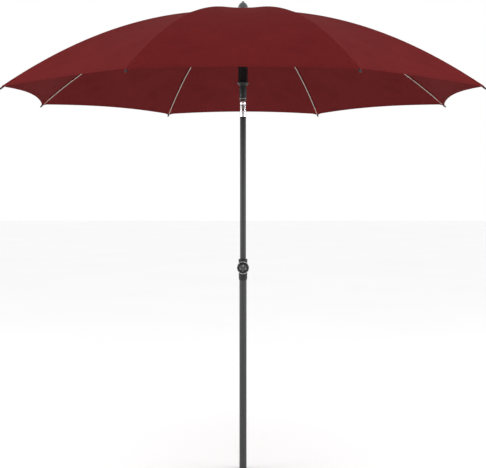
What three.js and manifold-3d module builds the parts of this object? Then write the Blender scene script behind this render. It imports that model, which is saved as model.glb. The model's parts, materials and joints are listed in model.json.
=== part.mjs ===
// A push-up parasol, built piece by piece: a telescoping pole with a clamp, a tilt knuckle, a runner on a
// stick, eight bent ribs with their stretchers, and an eight-sided canopy. Millimetres, +Z up.
// The pole's axis is the Z axis and the foot of the pole stands at z = 0.
import * as THREE from 'three';
import * as BufferGeometryUtils from 'three/addons/utils/BufferGeometryUtils.js';
import Module from 'manifold-3d';

const wasm = await Module();
wasm.setup();

// ---- Driving dimensions ------------------------------------------------------------------------------
const gap = 0.3;                 // between two pieces that touch
const slip = 0.4;                // between two pieces that slide or turn in each other
const skin = 1;                  // how deep joined solids run into each other, and cutters run past a face

// Canopy
const ribCount = 8;
const canopyRadius = 1000;       // pole axis to a hem corner
const archRise = 355;            // hem corners to the top of the canopy
const archPower = 2.05;          // how the bent ribs fall from the top to the hem
const hemBow = 35.6;             // how far the hem draws in between two ribs
const hemSag = 10;               // how far the cloth dips between two ribs at the hem
const sagPower = 0.75;
const clothThickness = 1.6;
const clothAboveHinge = 13;      // top of the cloth above the ribs' hinges
const patchHole = 1;             // cloth patch's hole, past the stud

// Ribs and stretchers
const ribDiameter = 5;
const ribClearOfCloth = 2.9;
const ribRampLength = 110;       // the rib rises from its eye to the cloth over this length
const ribOverhang = 10;          // rib tip past the hem corner
const pinDiameter = 3;
const eye = { thickness: 4, wall: 2.7 };
const clip = { r: 420, belowRib: 9.5, wall: 2.7 };
const stretcher = { wall: 1.4, depth: 8, mouth: 110, heel: 12 };   // mouth straddles the rib, heel the lug

// Pole, from the foot up
const upperPole = { diameter: 25, wall: 1.2, inside: 448, reach: 604 };
const lowerPole = { play: 1.3, wall: 1.2, length: 868 };
const footCap = { flange: 3, spigot: 30 };
const bushFlange = 20;
const spigotLength = 26;
const topRing = { wall: 1.7, height: 7 };

// Clamp
const clamp = { height: 89, aboveTube: 13, wall: 3, lip: 0.75, lipHeight: 11, taper: 11, tailWall: 1.25 };
const screw = { belowTop: 35, diameter: 7.4 };
const boss = { wall: 3.6, reach: 11 };
const nut = { across: 13, thickness: 5 };
const pad = { thinner: 0.4, thickness: 1.8 };   // thinner than the screw it sits in front of
const bezel = { diameter: 54, thickness: 3.5, standOff: 0.8 };
const knob = { diameter: 48, thickness: 13, lobes: 12, lobeDepth: 1.2, lobeRadius: 3 };
const knobDish = { diameter: 32, depth: 3 };

// Tilt knuckle
const knuckle = { proud: 0.5, pivotAbove: 37, slot: 7.2, rise: 31 };
const tongue = { thickness: 6.4, radius: 10.5, headroom: 1.6 };
const pivotPin = { diameter: 6, head: 9, headDepth: 2, reach: 6 };
const button = { diameter: 9, length: 3.2, dish: 0.7, rim: 1.6 };

// Stick, crown, runner and finial
const stick = { wall: 1.4, length: 347.4 };
const crown = { wall: 8, height: 20, hingeBelowTop: 6, hingeOut: 7.5, slotFrom: 1.5 };
const stud = { diameter: 8, length: 22 };
const runner = { neckWall: 1.6, bodyWall: 6.6, below: 178, neckLength: 62, flangeHeight: 15, flange: 4 };
const runnerHinge = { out: 12.5, belowCrown: 183 };
const runnerLug = { thickness: 6, wall: 2.7 };
const runnerTopRing = { proud: 2, above: 7 };
const catchWindow = { width: 9, height: 26, above: 102 };
const catchNose = { width: 6, height: 18, reach: 5, leaf: 18 };
const finial = { diameter: 45, height: 43, skirt: 13, flutes: 16, fluteDepth: 0.8, nub: 10, nubHeight: 3 };

// ---- Worked-out values -------------------------------------------------------------------------------
const halfPanel = Math.PI / ribCount;
const round = 24;                // facets of a full turn
const coarse = 12;
const bendStep = 83;             // longest straight piece of a bent rib
const clothStep = 97;            // and of the cloth along it

// Radii, from the upper pole out
const poleOuter = upperPole.diameter / 2;
const poleInner = poleOuter - upperPole.wall;
const lowerInner = poleOuter + lowerPole.play;
const lowerOuter = lowerInner + lowerPole.wall;
const ringOuter = poleInner + topRing.wall;
const knuckleOuter = poleOuter + knuckle.proud;
const stickInner = poleOuter - stick.wall;
const runnerBore = knuckleOuter + slip;
const collarOuter = lowerOuter + clamp.wall;
const screwHole = screw.diameter / 2 + slip;
const pinHole = pinDiameter + 2 * gap;

// Heights, from the foot up
const clampTop = lowerPole.length + clamp.aboveTube;
const clampBottom = clampTop - clamp.height;
const screwHeight = clampTop - screw.belowTop;
const upperBottom = lowerPole.length - upperPole.inside;
const upperTop = lowerPole.length + upperPole.reach;
const ringTop = upperTop + topRing.height;
const pivotHeight = ringTop + knuckle.pivotAbove;
const knuckleTop = pivotHeight + knuckle.rise;
const crownBottom = knuckleTop + stick.length + 2 * gap;
const crownTop = crownBottom + crown.height;

const hinge = new THREE.Vector2(poleOuter + crown.hingeOut, crownTop - crown.hingeBelowTop);
const runnerPivot = new THREE.Vector2(poleOuter + runnerHinge.out, hinge.y - runnerHinge.belowCrown);
const runnerBottom = runnerPivot.y - runner.below;
const windowBottom = runnerBottom + catchWindow.above;
const canopyTop = hinge.y + clothAboveHinge;
const crownOuter = hinge.x + crown.wall;
const patchRadius = crownOuter + 2;
const ribBelowCloth = ribDiameter / 2 + clothThickness + ribClearOfCloth;
const clipThickness = ribDiameter + 1;

// ---- Helpers -----------------------------------------------------------------------------------------
const vec = (x, y) => new THREE.Vector2(x, y);

/** Turns a closed three.js geometry into a solid that can be cut and joined. */
function solid(geometry) {
  const bare = geometry.clone();
  bare.deleteAttribute('normal');
  bare.deleteAttribute('uv');
  const merged = BufferGeometryUtils.mergeVertices(bare, 1e-4);
  const corners = merged.index.array;
  const kept = [];
  for (let i = 0; i < corners.length; i += 3) {
    const [a, b, c] = corners.slice(i, i + 3);
    if (a !== b && b !== c && c !== a) kept.push(a, b, c);
  }
  const vertProperties = new Float32Array(merged.attributes.position.array);
  const triVerts = new Uint32Array(kept);
  return new wasm.Manifold(new wasm.Mesh({ numProp: 3, vertProperties, triVerts }));
}

/** Turns a solid back into a geometry. */
function geometryOf(body) {
  const { vertProperties, triVerts } = body.getMesh();
  const geometry = new THREE.BufferGeometry();
  geometry.setAttribute('position', new THREE.BufferAttribute(new Float32Array(vertProperties), 3));
  geometry.setIndex(new THREE.BufferAttribute(new Uint32Array(triVerts), 1));
  geometry.computeVertexNormals();
  return geometry;
}

/** A solid turned about Z. The outline's (radius, height) points run anticlockwise. */
function turned(outline, segments = round) {
  const geometry = new THREE.LatheGeometry(outline, segments);
  geometry.rotateX(Math.PI / 2);
  return solid(geometry);
}

/** A ring or tube about Z between two radii and two heights. */
function tube(inner, outer, bottom, top, segments = round) {
  const outline = [vec(inner, bottom), vec(outer, bottom), vec(outer, top), vec(inner, top)];
  return turned([...outline, outline[0]], segments);
}

/** A full disc or rod about Z. */
function rod(radius, bottom, top, segments = coarse) {
  return turned([vec(0, bottom), vec(radius, bottom), vec(radius, top), vec(0, top)], segments);
}

/** A rod along another axis: made about Z from the origin, then turned and moved. */
function rodAlong(axis, radius, from, to, at = new THREE.Vector3(), segments = coarse) {
  const turn = new THREE.Quaternion().setFromUnitVectors(new THREE.Vector3(0, 0, 1), axis);
  const place = new THREE.Matrix4().compose(at, turn, new THREE.Vector3(1, 1, 1));
  return rod(radius, from, to, segments).transform(place.toArray());
}

/** A box from its lowest to its highest corner. */
function box(x0, y0, z0, x1, y1, z1) {
  const geometry = new THREE.BoxGeometry(x1 - x0, y1 - y0, z1 - z0);
  geometry.translate((x0 + x1) / 2, (y0 + y1) / 2, (z0 + z1) / 2);
  return solid(geometry);
}

/** A flat plate in the XZ plane, centred on y = 0. */
function plate(shape, thickness, curveSegments = 2) {
  const geometry = new THREE.ExtrudeGeometry(shape, { depth: thickness, bevelEnabled: false, curveSegments });
  geometry.translate(0, 0, -thickness / 2);
  geometry.rotateX(Math.PI / 2);
  return solid(geometry);
}

/** The outline of a bar with round ends between two points. */
function bar(a, b, width) {
  const along = Math.atan2(b.y - a.y, b.x - a.x);
  const shape = new THREE.Shape();
  shape.absarc(b.x, b.y, width / 2, along - Math.PI / 2, along + Math.PI / 2);
  shape.absarc(a.x, a.y, width / 2, along + Math.PI / 2, along + Math.PI * 1.5);
  return shape;
}

/** A short rod across the XZ plane, centred on y = 0. */
function crossPin(at, diameter, length) {
  const place = new THREE.Vector3(at.x, 0, at.y);
  return rodAlong(new THREE.Vector3(0, 1, 0), diameter / 2, -length / 2, length / 2, place, 8);
}

/** Copies a solid to every rib's place around the pole and joins the copies. */
function aroundPole(piece) {
  const copies = ribAngles().map((angle) => piece.rotate([0, 0, THREE.MathUtils.radToDeg(angle)]));
  return wasm.Manifold.union(copies);
}

/** The ribs stand half a panel off the X axis, so that a panel faces -Y. */
function ribAngles() {
  return Array.from({ length: ribCount }, (_, i) => halfPanel * (2 * i + 1));
}

/** Height of the top of the cloth over a rib. */
function archHeight(r) {
  return canopyTop - archRise * (r / canopyRadius) ** archPower;
}

/** The rib's centre line, from its eye in the crown to its tip. */
function ribHeight(r) {
  const ramp = Math.max(0, 1 - (r - hinge.x) / ribRampLength);
  return archHeight(r) - ribBelowCloth - (clothAboveHinge - ribBelowCloth) * ramp * ramp;
}

/** Where the stretcher is riveted to the rib. */
function clipPivot() {
  return vec(clip.r, ribHeight(clip.r) - clip.belowRib);
}

// ---- Finishes ----------------------------------------------------------------------------------------
const finish = (color, roughness, metalness) => () =>
  new THREE.MeshStandardMaterial({ color, roughness, metalness });

const cloth = finish(0x6b2427, 0.9, 0);
const anthracite = finish(0x4a4a4a, 0.5, 0.3);
const blackPlastic = finish(0x1b1b1c, 0.5, 0);
const chrome = finish(0xd8d8d8, 0.12, 1);
const darkSteel = finish(0x55565a, 0.35, 1);
const zincSteel = finish(0x8f8b86, 0.4, 1);
const silverPlastic = finish(0xb4b4b4, 0.35, 0.4);
const gunmetal = finish(0x3a3c3e, 0.25, 0.8);

// ---- Lower pole and its foot -------------------------------------------------------------------------
function footCapSolid() {
  const flange = rod(lowerOuter, 0, footCap.flange - gap, round);
  return flange.add(rod(lowerInner - gap, footCap.flange - skin, footCap.spigot, round));
}

/** A rod at the clamp screw's height, pointing at the knob. */
function towardsKnob(radius, from, to, segments = coarse) {
  const pivot = new THREE.Vector3(0, 0, screwHeight);
  return rodAlong(new THREE.Vector3(0, -1, 0), radius, from, to, pivot, segments);
}

function lowerPoleSolid() {
  const wall = tube(lowerInner, lowerOuter, footCap.flange, lowerPole.length);
  return wall.subtract(towardsKnob(screwHole, 0, 2 * lowerOuter));
}

// ---- Clamp -------------------------------------------------------------------------------------------
const bossEnd = collarOuter + boss.reach - clamp.wall;
const nutCorner = nut.across / 2 / Math.cos(Math.PI / 6);
const nutStart = bossEnd - nut.thickness;
const padTip = poleOuter + gap;
const padBack = padTip + pad.thickness;
const bezelStart = bossEnd + bezel.standOff;
const knobStart = bezelStart + bezel.thickness + gap;
const knobEnd = knobStart + knob.thickness;
const dishFloor = knobEnd - knobDish.depth;
const screwEnd = dishFloor - skin;
const edge = 1.5;                // usual rounding of a moulded edge

function clampCollarSolid() {
  const poleBore = lowerOuter + gap;
  const guideBore = poleOuter + slip;
  const shoulder = lowerPole.length + gap;
  const lip = collarOuter + clamp.lip;
  const lipBottom = clampTop - clamp.lipHeight;
  const outline = [
    vec(poleBore, clampBottom), vec(lowerOuter + clamp.tailWall, clampBottom),
    vec(collarOuter, clampBottom + clamp.taper), vec(collarOuter, lipBottom - edge), vec(lip, lipBottom),
    vec(lip, clampTop - edge), vec(lip - edge, clampTop), vec(guideBore, clampTop), vec(guideBore, shoulder),
    vec(poleBore, shoulder), vec(poleBore, clampBottom),
  ];
  const sleeve = turned(outline).add(towardsKnob(nutCorner + boss.wall, poleBore + skin, bossEnd));
  const nutSeat = towardsKnob(nutCorner + gap, nutStart - gap, bossEnd + skin, 6);
  return sleeve.subtract(towardsKnob(screwHole, 0, bossEnd + skin)).subtract(nutSeat);
}

function clampNutSolid() {
  return towardsKnob(nutCorner, nutStart, bossEnd, 6).subtract(towardsKnob(screwHole, 0, bossEnd + skin));
}

function clampPadSolid() {
  return towardsKnob((screw.diameter - pad.thinner) / 2, padTip, padBack);
}

function clampScrewSolid() {
  return towardsKnob(screw.diameter / 2, padBack + gap, screwEnd);
}

/** A ring or disc about the clamp screw, given as (radius, distance from the pole's axis). */
function turnedOnScrew(outline, segments = round) {
  const turn = new THREE.Matrix4().makeRotationX(Math.PI / 2);
  turn.setPosition(0, 0, screwHeight);
  return turned(outline, segments).transform(turn.toArray());
}

function knobBezelSolid() {
  const outer = bezel.diameter / 2;
  const end = bezelStart + bezel.thickness;
  const outline = [
    vec(screwHole, bezelStart), vec(outer - 2 * edge, bezelStart), vec(outer, bezelStart + edge),
    vec(outer, end - edge / 2), vec(outer - edge / 2, end), vec(screwHole, end), vec(screwHole, bezelStart),
  ];
  return turnedOnScrew(outline);
}

function clampKnobSolid() {
  const outer = knob.diameter / 2;
  const dish = knobDish.diameter / 2;
  const outline = [
    vec(0, knobStart), vec(outer - 1, knobStart), vec(outer, knobStart + 1), vec(outer, knobEnd - 4),
    vec(outer - 1.2, knobEnd - 1.2), vec(outer - 4, knobEnd), vec(dish, knobEnd), vec(dish, dishFloor),
    vec(0, dishFloor),
  ];
  const lobes = Array.from({ length: knob.lobes }, (_, i) => {
    const angle = (i * Math.PI * 2) / knob.lobes;
    const reach = outer + knob.lobeRadius - knob.lobeDepth;
    const at = new THREE.Vector3(reach * Math.cos(angle), 0, screwHeight + reach * Math.sin(angle));
    return rodAlong(new THREE.Vector3(0, -1, 0), knob.lobeRadius, knobStart - skin, knobEnd + skin, at, 8);
  });
  const bore = towardsKnob(screw.diameter / 2 + gap, knobStart - skin, screwEnd + gap);
  return turnedOnScrew(outline, 36).subtract(wasm.Manifold.union(lobes)).subtract(bore);
}

/** The plain cap in the knob's dish: a raised ring round a low dome. */
function knobCapSolid() {
  const floor = dishFloor + gap;
  const outer = knobDish.diameter / 2 - gap;
  const outline = [
    vec(0, floor), vec(outer, floor), vec(outer, floor + 1.4), vec(outer - 3, floor + 2.4),
    vec(outer - 6, floor + 1.6), vec(5, floor + 2.2), vec(0, floor + 2.6),
  ];
  return turnedOnScrew(outline);
}

// ---- Upper pole --------------------------------------------------------------------------------------
function guideBushSolid() {
  const body = rod(lowerInner - slip, upperBottom - bushFlange, upperBottom - gap, round);
  return body.add(rod(poleInner - gap, upperBottom - skin, upperBottom + spigotLength, round));
}

function upperPoleSolid() {
  return tube(poleInner, poleOuter, upperBottom, upperTop);
}

function poleTopRingSolid() {
  return tube(poleInner, ringOuter, upperTop + gap, ringTop - gap);
}

// ---- Tilt knuckle ------------------------------------------------------------------------------------
const acrossX = new THREE.Vector3(1, 0, 0);
const pivotPoint = new THREE.Vector3(0, 0, pivotHeight);

/** A rod along the knuckle's pivot. */
function onPivot(radius, from, to, segments = coarse) {
  return rodAlong(acrossX, radius, from, to, pivotPoint, segments);
}

/** How far out a flat round face on the pivot can reach and stay inside the knuckle's outline. */
function faceReach(diameter) {
  return Math.sqrt((knuckleOuter - gap) ** 2 - (diameter / 2) ** 2);
}

const pivotBore = () => onPivot(pivotPin.diameter / 2 + gap, -knuckleOuter, knuckleOuter);

function knuckleForkSolid() {
  const outer = knuckleOuter;
  const body = rod(outer, ringTop, pivotHeight, round);
  const archedTop = onPivot(outer, -outer, outer, round);
  const cheeks = rod(outer, pivotHeight - skin, pivotHeight + outer, round).intersect(archedTop);
  const neck = rod(poleInner - gap, upperTop - spigotLength, ringTop + skin, round);
  const slotFloor = pivotHeight - tongue.radius - slip - skin;
  const halfSlot = knuckle.slot / 2;
  const slot = box(-halfSlot, -outer - skin, slotFloor, halfSlot, outer + skin, pivotHeight + outer + skin);
  const buttonSeat = onPivot(button.diameter / 2 + slip, pivotPin.reach, outer + skin);
  const headBack = pivotPin.headDepth - faceReach(pivotPin.head);
  const headSeat = onPivot(pivotPin.head / 2 + gap, -outer - skin, headBack + gap);
  const cuts = wasm.Manifold.union([slot, buttonSeat, headSeat, pivotBore()]);
  return body.add(cheeks).add(neck).subtract(cuts);
}

function knuckleTongueSolid() {
  const socketBottom = pivotHeight + knuckleOuter + tongue.headroom;
  const half = tongue.thickness / 2;
  const socket = rod(knuckleOuter, socketBottom, knuckleTop, round);
  const web = box(-half, -tongue.radius, pivotHeight, half, tongue.radius, socketBottom + skin);
  const spigot = rod(stickInner - gap, knuckleTop - skin, knuckleTop + spigotLength, round);
  return socket.add(onPivot(tongue.radius, -half, half, round)).add(web).add(spigot).subtract(pivotBore());
}

function knucklePinSolid() {
  const face = faceReach(pivotPin.head);
  const shank = onPivot(pivotPin.diameter / 2, skin - face, pivotPin.reach);
  return shank.add(onPivot(pivotPin.head / 2, -face, pivotPin.headDepth - face));
}

function tiltButtonSolid() {
  const face = faceReach(button.diameter);
  const cap = onPivot(button.diameter / 2, face - button.length, face);
  return cap.subtract(onPivot(button.diameter / 2 - button.rim, face - button.dish, face + skin));
}

// ---- Stick, runner and catch -------------------------------------------------------------------------
function canopyStickSolid() {
  const half = catchWindow.width / 2;
  const slot = box(-half, 0, windowBottom, half, poleOuter + skin, windowBottom + catchWindow.height);
  return tube(stickInner, poleOuter, knuckleTop + gap, crownBottom - gap).subtract(slot);
}

function runnerSolid() {
  const neck = runnerBore + runner.neckWall;
  const body = runnerBore + runner.bodyWall;
  const flange = body + runner.flange;
  const ring = body + runnerTopRing.proud;
  const flangeBottom = runnerBottom + runner.neckLength;
  const flangeTop = flangeBottom + runner.flangeHeight;
  const top = runnerPivot.y + runnerTopRing.above;
  const ringBottom = runnerPivot.y - 12;
  const outline = [
    vec(runnerBore, runnerBottom), vec(neck - 1, runnerBottom), vec(neck, runnerBottom + 1),
    vec(neck, flangeBottom), vec(flange - 1, flangeTop - 5), vec(flange, flangeTop - 4),
    vec(flange, flangeTop - 1), vec(flange - 1, flangeTop), vec(body, flangeTop), vec(body, ringBottom),
    vec(ring, ringBottom + 3), vec(ring, ringBottom + 6), vec(body, ringBottom + 6), vec(body, top - 1),
    vec(body - 1, top), vec(runnerBore, top), vec(runnerBore, runnerBottom),
  ];
  const lugSize = pinHole + 2 * runnerLug.wall;
  const lug = plate(bar(vec(body - 2, runnerPivot.y), runnerPivot, lugSize), runnerLug.thickness);
  const pin = crossPin(runnerPivot, pinDiameter, clipThickness + 2 * (gap + stretcher.wall) + 2);
  const half = catchWindow.width / 2;
  const windowTop = windowBottom + catchWindow.height;
  const window = box(-half, runnerBore - 2, windowBottom, half, body + skin, windowTop);
  return turned(outline).add(aroundPole(lug.add(pin))).subtract(window);
}

/** The spring catch: a leaf inside the stick with a nose that stands out through the runner's window. */
function runnerCatchSolid() {
  const bottom = windowBottom + (catchWindow.height - catchNose.height) / 2;
  const top = bottom + catchNose.height;
  const [back, front] = [stickInner - 3.5, stickInner - 2.1];
  const reach = poleOuter + catchNose.reach;
  const noseOutline = [vec(back, bottom), vec(reach, bottom), vec(reach, bottom + 3), vec(back, top)];
  const nose = new THREE.Shape(noseOutline);
  const leafEnds = [bottom - catchNose.leaf, top + 2];
  const leaf = new THREE.Shape([
    vec(back, leafEnds[0]), vec(front, leafEnds[0]), vec(front, leafEnds[1]), vec(back, leafEnds[1]),
  ]);
  return plate(nose, catchNose.width).add(plate(leaf, catchNose.width)).rotate([0, 0, 90]);
}

// ---- Crown, patch and finial -------------------------------------------------------------------------
function crownSolid() {
  const outline = [
    vec(0, crownBottom), vec(crownOuter - 4, crownBottom), vec(crownOuter, crownBottom + 4),
    vec(crownOuter, crownTop - 3), vec(crownOuter - 3, crownTop), vec(0, crownTop),
  ];
  const spigot = rod(stickInner - gap, crownBottom - spigotLength, crownBottom + skin, round);
  const threadedStud = rod(stud.diameter / 2, crownTop - skin, crownTop + stud.length);
  const half = ribDiameter / 2 + slip;
  const slotStart = poleOuter + crown.slotFrom;
  const slot = box(slotStart, -half, crownBottom - skin, crownOuter + skin, half, crownTop + skin);
  const pin = crossPin(hinge, pinDiameter, 2 * half + 2);
  const hub = turned(outline).subtract(aroundPole(slot)).add(aroundPole(pin));
  return hub.add(spigot).add(threadedStud);
}

function apexPatchSolid() {
  const rim = patchRadius - gap;
  const hole = stud.diameter / 2 + patchHole;
  const outline = [
    vec(hole, canopyTop - clothThickness), vec(rim, archHeight(rim) - clothThickness),
    vec(rim, archHeight(rim)), vec(hole, canopyTop), vec(hole, canopyTop - clothThickness),
  ];
  return turned(outline, ribCount).rotate([0, 0, THREE.MathUtils.radToDeg(halfPanel)]);
}

/** A dome on a fluted skirt with a small nub on top. */
function finialSolid() {
  const bottom = canopyTop + gap;
  const outer = finial.diameter / 2;
  const skirtTop = bottom + finial.skirt;
  const domeTop = bottom + finial.height - finial.nubHeight;
  const domeSteps = 6;
  const outline = [
    vec(0, bottom), vec(outer - edge, bottom), vec(outer, bottom + edge), vec(outer, skirtTop),
  ];
  for (let i = 1; i <= domeSteps; i += 1) {
    const turn = (i / domeSteps) * Math.PI * 0.47;
    outline.push(vec((outer - 1.2) * Math.cos(turn), skirtTop + (domeTop - skirtTop) * Math.sin(turn)));
  }
  outline.push(vec(0, domeTop));
  const fluteRadius = 2 * finial.fluteDepth;
  const flutes = Array.from({ length: finial.flutes }, (_, i) => {
    const angle = (i * Math.PI * 2) / finial.flutes;
    const reach = outer + fluteRadius - finial.fluteDepth;
    const at = new THREE.Vector3(reach * Math.cos(angle), reach * Math.sin(angle), bottom + 2.5);
    return rodAlong(new THREE.Vector3(0, 0, 1), fluteRadius, 0, finial.skirt - 4, at, 6);
  });
  const bore = rod(stud.diameter / 2 + gap, bottom - skin, crownTop + stud.length + gap);
  const nub = rod(finial.nub / 2, domeTop - 2, bottom + finial.height);
  return turned(outline, 32).subtract(wasm.Manifold.union(flutes)).add(nub).subtract(bore);
}

// ---- Ribs and stretchers, made along +X --------------------------------------------------------------
function ribSolid() {
  const tip = canopyRadius + ribOverhang;
  const eyeSize = pinHole + 2 * eye.wall;
  const start = hinge.x + eyeSize / 2 - skin;
  const steps = Math.ceil((tip - start) / bendStep);
  const points = Array.from({ length: steps + 1 }, (_, i) => {
    const r = start + (tip - start) * (i / steps);
    return new THREE.Vector3(r, 0, ribHeight(r));
  });
  const section = new THREE.Shape();
  section.absarc(0, 0, ribDiameter / 2, 0, Math.PI * 2);
  const path = new THREE.CatmullRomCurve3(points);
  const sweep = { steps, extrudePath: path, curveSegments: 4, bevelEnabled: false };
  const wire = new THREE.ExtrudeGeometry(section, sweep);
  const eyePlate = plate(bar(hinge, vec(start + 4, ribHeight(start + 4)), eyeSize), eye.thickness);
  const clipSize = pinHole + 2 * clip.wall;
  const clipPlate = plate(bar(vec(clip.r, ribHeight(clip.r)), clipPivot(), clipSize), clipThickness);
  const holes = crossPin(hinge, pinHole, 20).add(crossPin(clipPivot(), pinHole, 20));
  return solid(wire).add(eyePlate).add(clipPlate).subtract(holes);
}

/** A U-shaped channel, open on top, with its web cut back where it straddles the rib and the runner's lug. */
function stretcherSolid() {
  const from = runnerPivot;
  const to = clipPivot();
  const length = from.distanceTo(to);
  const tilt = Math.atan2(to.y - from.y, to.x - from.x);
  const inside = clipThickness / 2 + gap;
  const [low, high] = [-stretcher.depth / 2, stretcher.depth / 2];
  const past = 10;
  const trough = box(-past, -inside, low + stretcher.wall, length + past, inside, high + skin);
  const heel = box(-past, -inside, low - skin, stretcher.heel, inside, high + skin);
  const mouth = box(length - stretcher.mouth, -inside, low - skin, length + past, inside, high + skin);
  const holes = crossPin(vec(0, 0), pinHole, 20).add(crossPin(vec(length, 0), pinHole, 20));
  const channel = plate(bar(vec(0, 0), vec(length, 0), stretcher.depth), 2 * (inside + stretcher.wall))
    .subtract(wasm.Manifold.union([trough, heel, mouth, holes]));
  const turn = new THREE.Matrix4().makeRotationY(-tilt);
  turn.setPosition(from.x, 0, from.y);
  return channel.transform(turn.toArray());
}

// ---- Canopy cloth ------------------------------------------------------------------------------------
/** A point of the cloth between two ribs: r along the rib, side from 0 mid-panel to 1 at the rib. */
function clothPoint(r, side, lift) {
  const dip = hemSag * (r / canopyRadius) ** sagPower * (1 - side * side);
  const height = archHeight(r) - dip + lift;
  return new THREE.Vector3(r * Math.cos(halfPanel), r * Math.sin(halfPanel) * side, height);
}

/** Half a gore, from the middle of a panel that faces +X to the rib on its +Y side (hand 1) or -Y (-1). */
function halfGoreGeometry(hand) {
  const along = Math.ceil((canopyRadius - patchRadius) / clothStep);
  const across = 3;
  const inset = gap / 2;
  const positions = [];
  for (const lift of [0, -clothThickness]) {
    for (let i = 0; i <= along; i += 1) {
      for (let j = 0; j <= across; j += 1) {
        const side = j / across;
        const hem = canopyRadius - hemBow * (1 - side * side);
        const r = patchRadius + (hem - patchRadius) * (i / along);
        const point = clothPoint(r, side, lift);
        point.y += j === 0 ? inset : 0;
        point.y -= j === across ? inset / Math.cos(halfPanel) : 0;
        positions.push(point.x, hand * point.y, point.z);
      }
    }
  }
  const row = across + 1;
  const layer = (along + 1) * row;
  const index = [];
  const quad = (a, b, c, d) => index.push(...(hand > 0 ? [a, b, c, a, c, d] : [a, c, b, a, d, c]));
  for (let i = 0; i < along; i += 1) {
    for (let j = 0; j < across; j += 1) {
      const a = i * row + j;
      quad(a, a + row, a + row + 1, a + 1);
      quad(layer + a, layer + a + 1, layer + a + row + 1, layer + a + row);
    }
    const [near, far] = [i * row, i * row + across];
    quad(near, layer + near, layer + near + row, near + row);
    quad(far, far + row, layer + far + row, layer + far);
  }
  for (let j = 0; j < across; j += 1) {
    const [top, hem] = [j, along * row + j];
    quad(top, top + 1, layer + top + 1, layer + top);
    quad(hem, layer + hem, layer + hem + 1, hem + 1);
  }
  const geometry = new THREE.BufferGeometry();
  geometry.setAttribute('position', new THREE.Float32BufferAttribute(positions, 3));
  geometry.setIndex(index);
  geometry.computeVertexNormals();
  return geometry;
}

// ---- Assembly ----------------------------------------------------------------------------------------
/** A named piece of the parasol. */
function piece(name, geometry, material, turn = 0) {
  const mesh = new THREE.Mesh(geometry, material());
  mesh.name = name;
  mesh.rotation.z = turn;
  return mesh;
}

const parasol = new THREE.Group();

const single = {
  foot_cap: [footCapSolid, blackPlastic],
  lower_pole: [lowerPoleSolid, anthracite],
  clamp_collar: [clampCollarSolid, blackPlastic],
  clamp_nut: [clampNutSolid, zincSteel],
  clamp_pad: [clampPadSolid, zincSteel],
  clamp_screw: [clampScrewSolid, zincSteel],
  knob_bezel: [knobBezelSolid, silverPlastic],
  clamp_knob: [clampKnobSolid, blackPlastic],
  knob_cap: [knobCapSolid, blackPlastic],
  guide_bush: [guideBushSolid, blackPlastic],
  upper_pole: [upperPoleSolid, anthracite],
  pole_top_ring: [poleTopRingSolid, blackPlastic],
  knuckle_fork: [knuckleForkSolid, chrome],
  knuckle_pin: [knucklePinSolid, darkSteel],
  tilt_button: [tiltButtonSolid, darkSteel],
  knuckle_tongue: [knuckleTongueSolid, chrome],
  canopy_stick: [canopyStickSolid, anthracite],
  runner: [runnerSolid, blackPlastic],
  runner_catch: [runnerCatchSolid, zincSteel],
  crown: [crownSolid, blackPlastic],
  apex_patch: [apexPatchSolid, cloth],
  finial: [finialSolid, gunmetal],
};

for (const [name, [build, material]] of Object.entries(single)) {
  parasol.add(piece(name, geometryOf(build()), material));
}

const ribGeometry = geometryOf(ribSolid());
const stretcherGeometry = geometryOf(stretcherSolid());
const [leftGore, rightGore] = [halfGoreGeometry(1), halfGoreGeometry(-1)];

ribAngles().forEach((angle, i) => {
  parasol.add(piece(`rib_${i + 1}`, ribGeometry, zincSteel, angle));
  parasol.add(piece(`stretcher_${i + 1}`, stretcherGeometry, darkSteel, angle));
  parasol.add(piece(`gore_${i + 1}_right`, leftGore, cloth, angle - halfPanel));
  parasol.add(piece(`gore_${i + 1}_left`, rightGore, cloth, angle + halfPanel));
});

export default parasol;
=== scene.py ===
"""Push-up patio parasol: every visible piece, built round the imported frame, with shapes in millimetres."""

import json
import logging
import math
from collections.abc import Callable, Mapping, Sequence
from dataclasses import dataclass, field
from enum import Enum

import bmesh
import bpy
from mathutils import Matrix, Vector


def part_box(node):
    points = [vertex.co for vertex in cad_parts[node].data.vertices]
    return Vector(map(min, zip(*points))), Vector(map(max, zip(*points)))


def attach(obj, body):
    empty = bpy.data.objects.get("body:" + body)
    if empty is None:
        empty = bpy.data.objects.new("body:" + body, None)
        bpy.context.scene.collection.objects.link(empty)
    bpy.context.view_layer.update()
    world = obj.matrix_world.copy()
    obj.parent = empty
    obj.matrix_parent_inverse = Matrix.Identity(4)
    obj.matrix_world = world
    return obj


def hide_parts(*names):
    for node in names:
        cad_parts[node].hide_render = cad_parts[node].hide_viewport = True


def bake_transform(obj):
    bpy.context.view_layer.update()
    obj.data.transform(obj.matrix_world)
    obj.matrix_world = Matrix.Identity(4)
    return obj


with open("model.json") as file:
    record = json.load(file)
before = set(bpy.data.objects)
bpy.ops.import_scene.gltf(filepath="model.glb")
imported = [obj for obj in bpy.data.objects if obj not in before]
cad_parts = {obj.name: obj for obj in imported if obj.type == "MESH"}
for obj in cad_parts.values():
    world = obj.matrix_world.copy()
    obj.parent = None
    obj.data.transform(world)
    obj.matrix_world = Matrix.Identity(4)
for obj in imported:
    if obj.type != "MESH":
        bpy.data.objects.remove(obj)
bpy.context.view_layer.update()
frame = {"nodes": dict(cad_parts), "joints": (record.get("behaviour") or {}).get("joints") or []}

log = logging.getLogger("parasol")

MM = 0.001
RIBS = 8
HALF_PANEL = math.pi / RIBS
SIDEWAYS = Vector((0, 1, 0))  # square to the plane of the rib at +X
Point2 = tuple[float, float]
Socket = bpy.types.NodeSocket
Inputs = Mapping[int | str, object] | Sequence[object]


# ---- Where things are -------------------------------------------------------------------------------
def low(node: str) -> Vector:
    """The lowest corner of a frame node, in millimetres."""
    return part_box(node)[0] / MM


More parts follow.
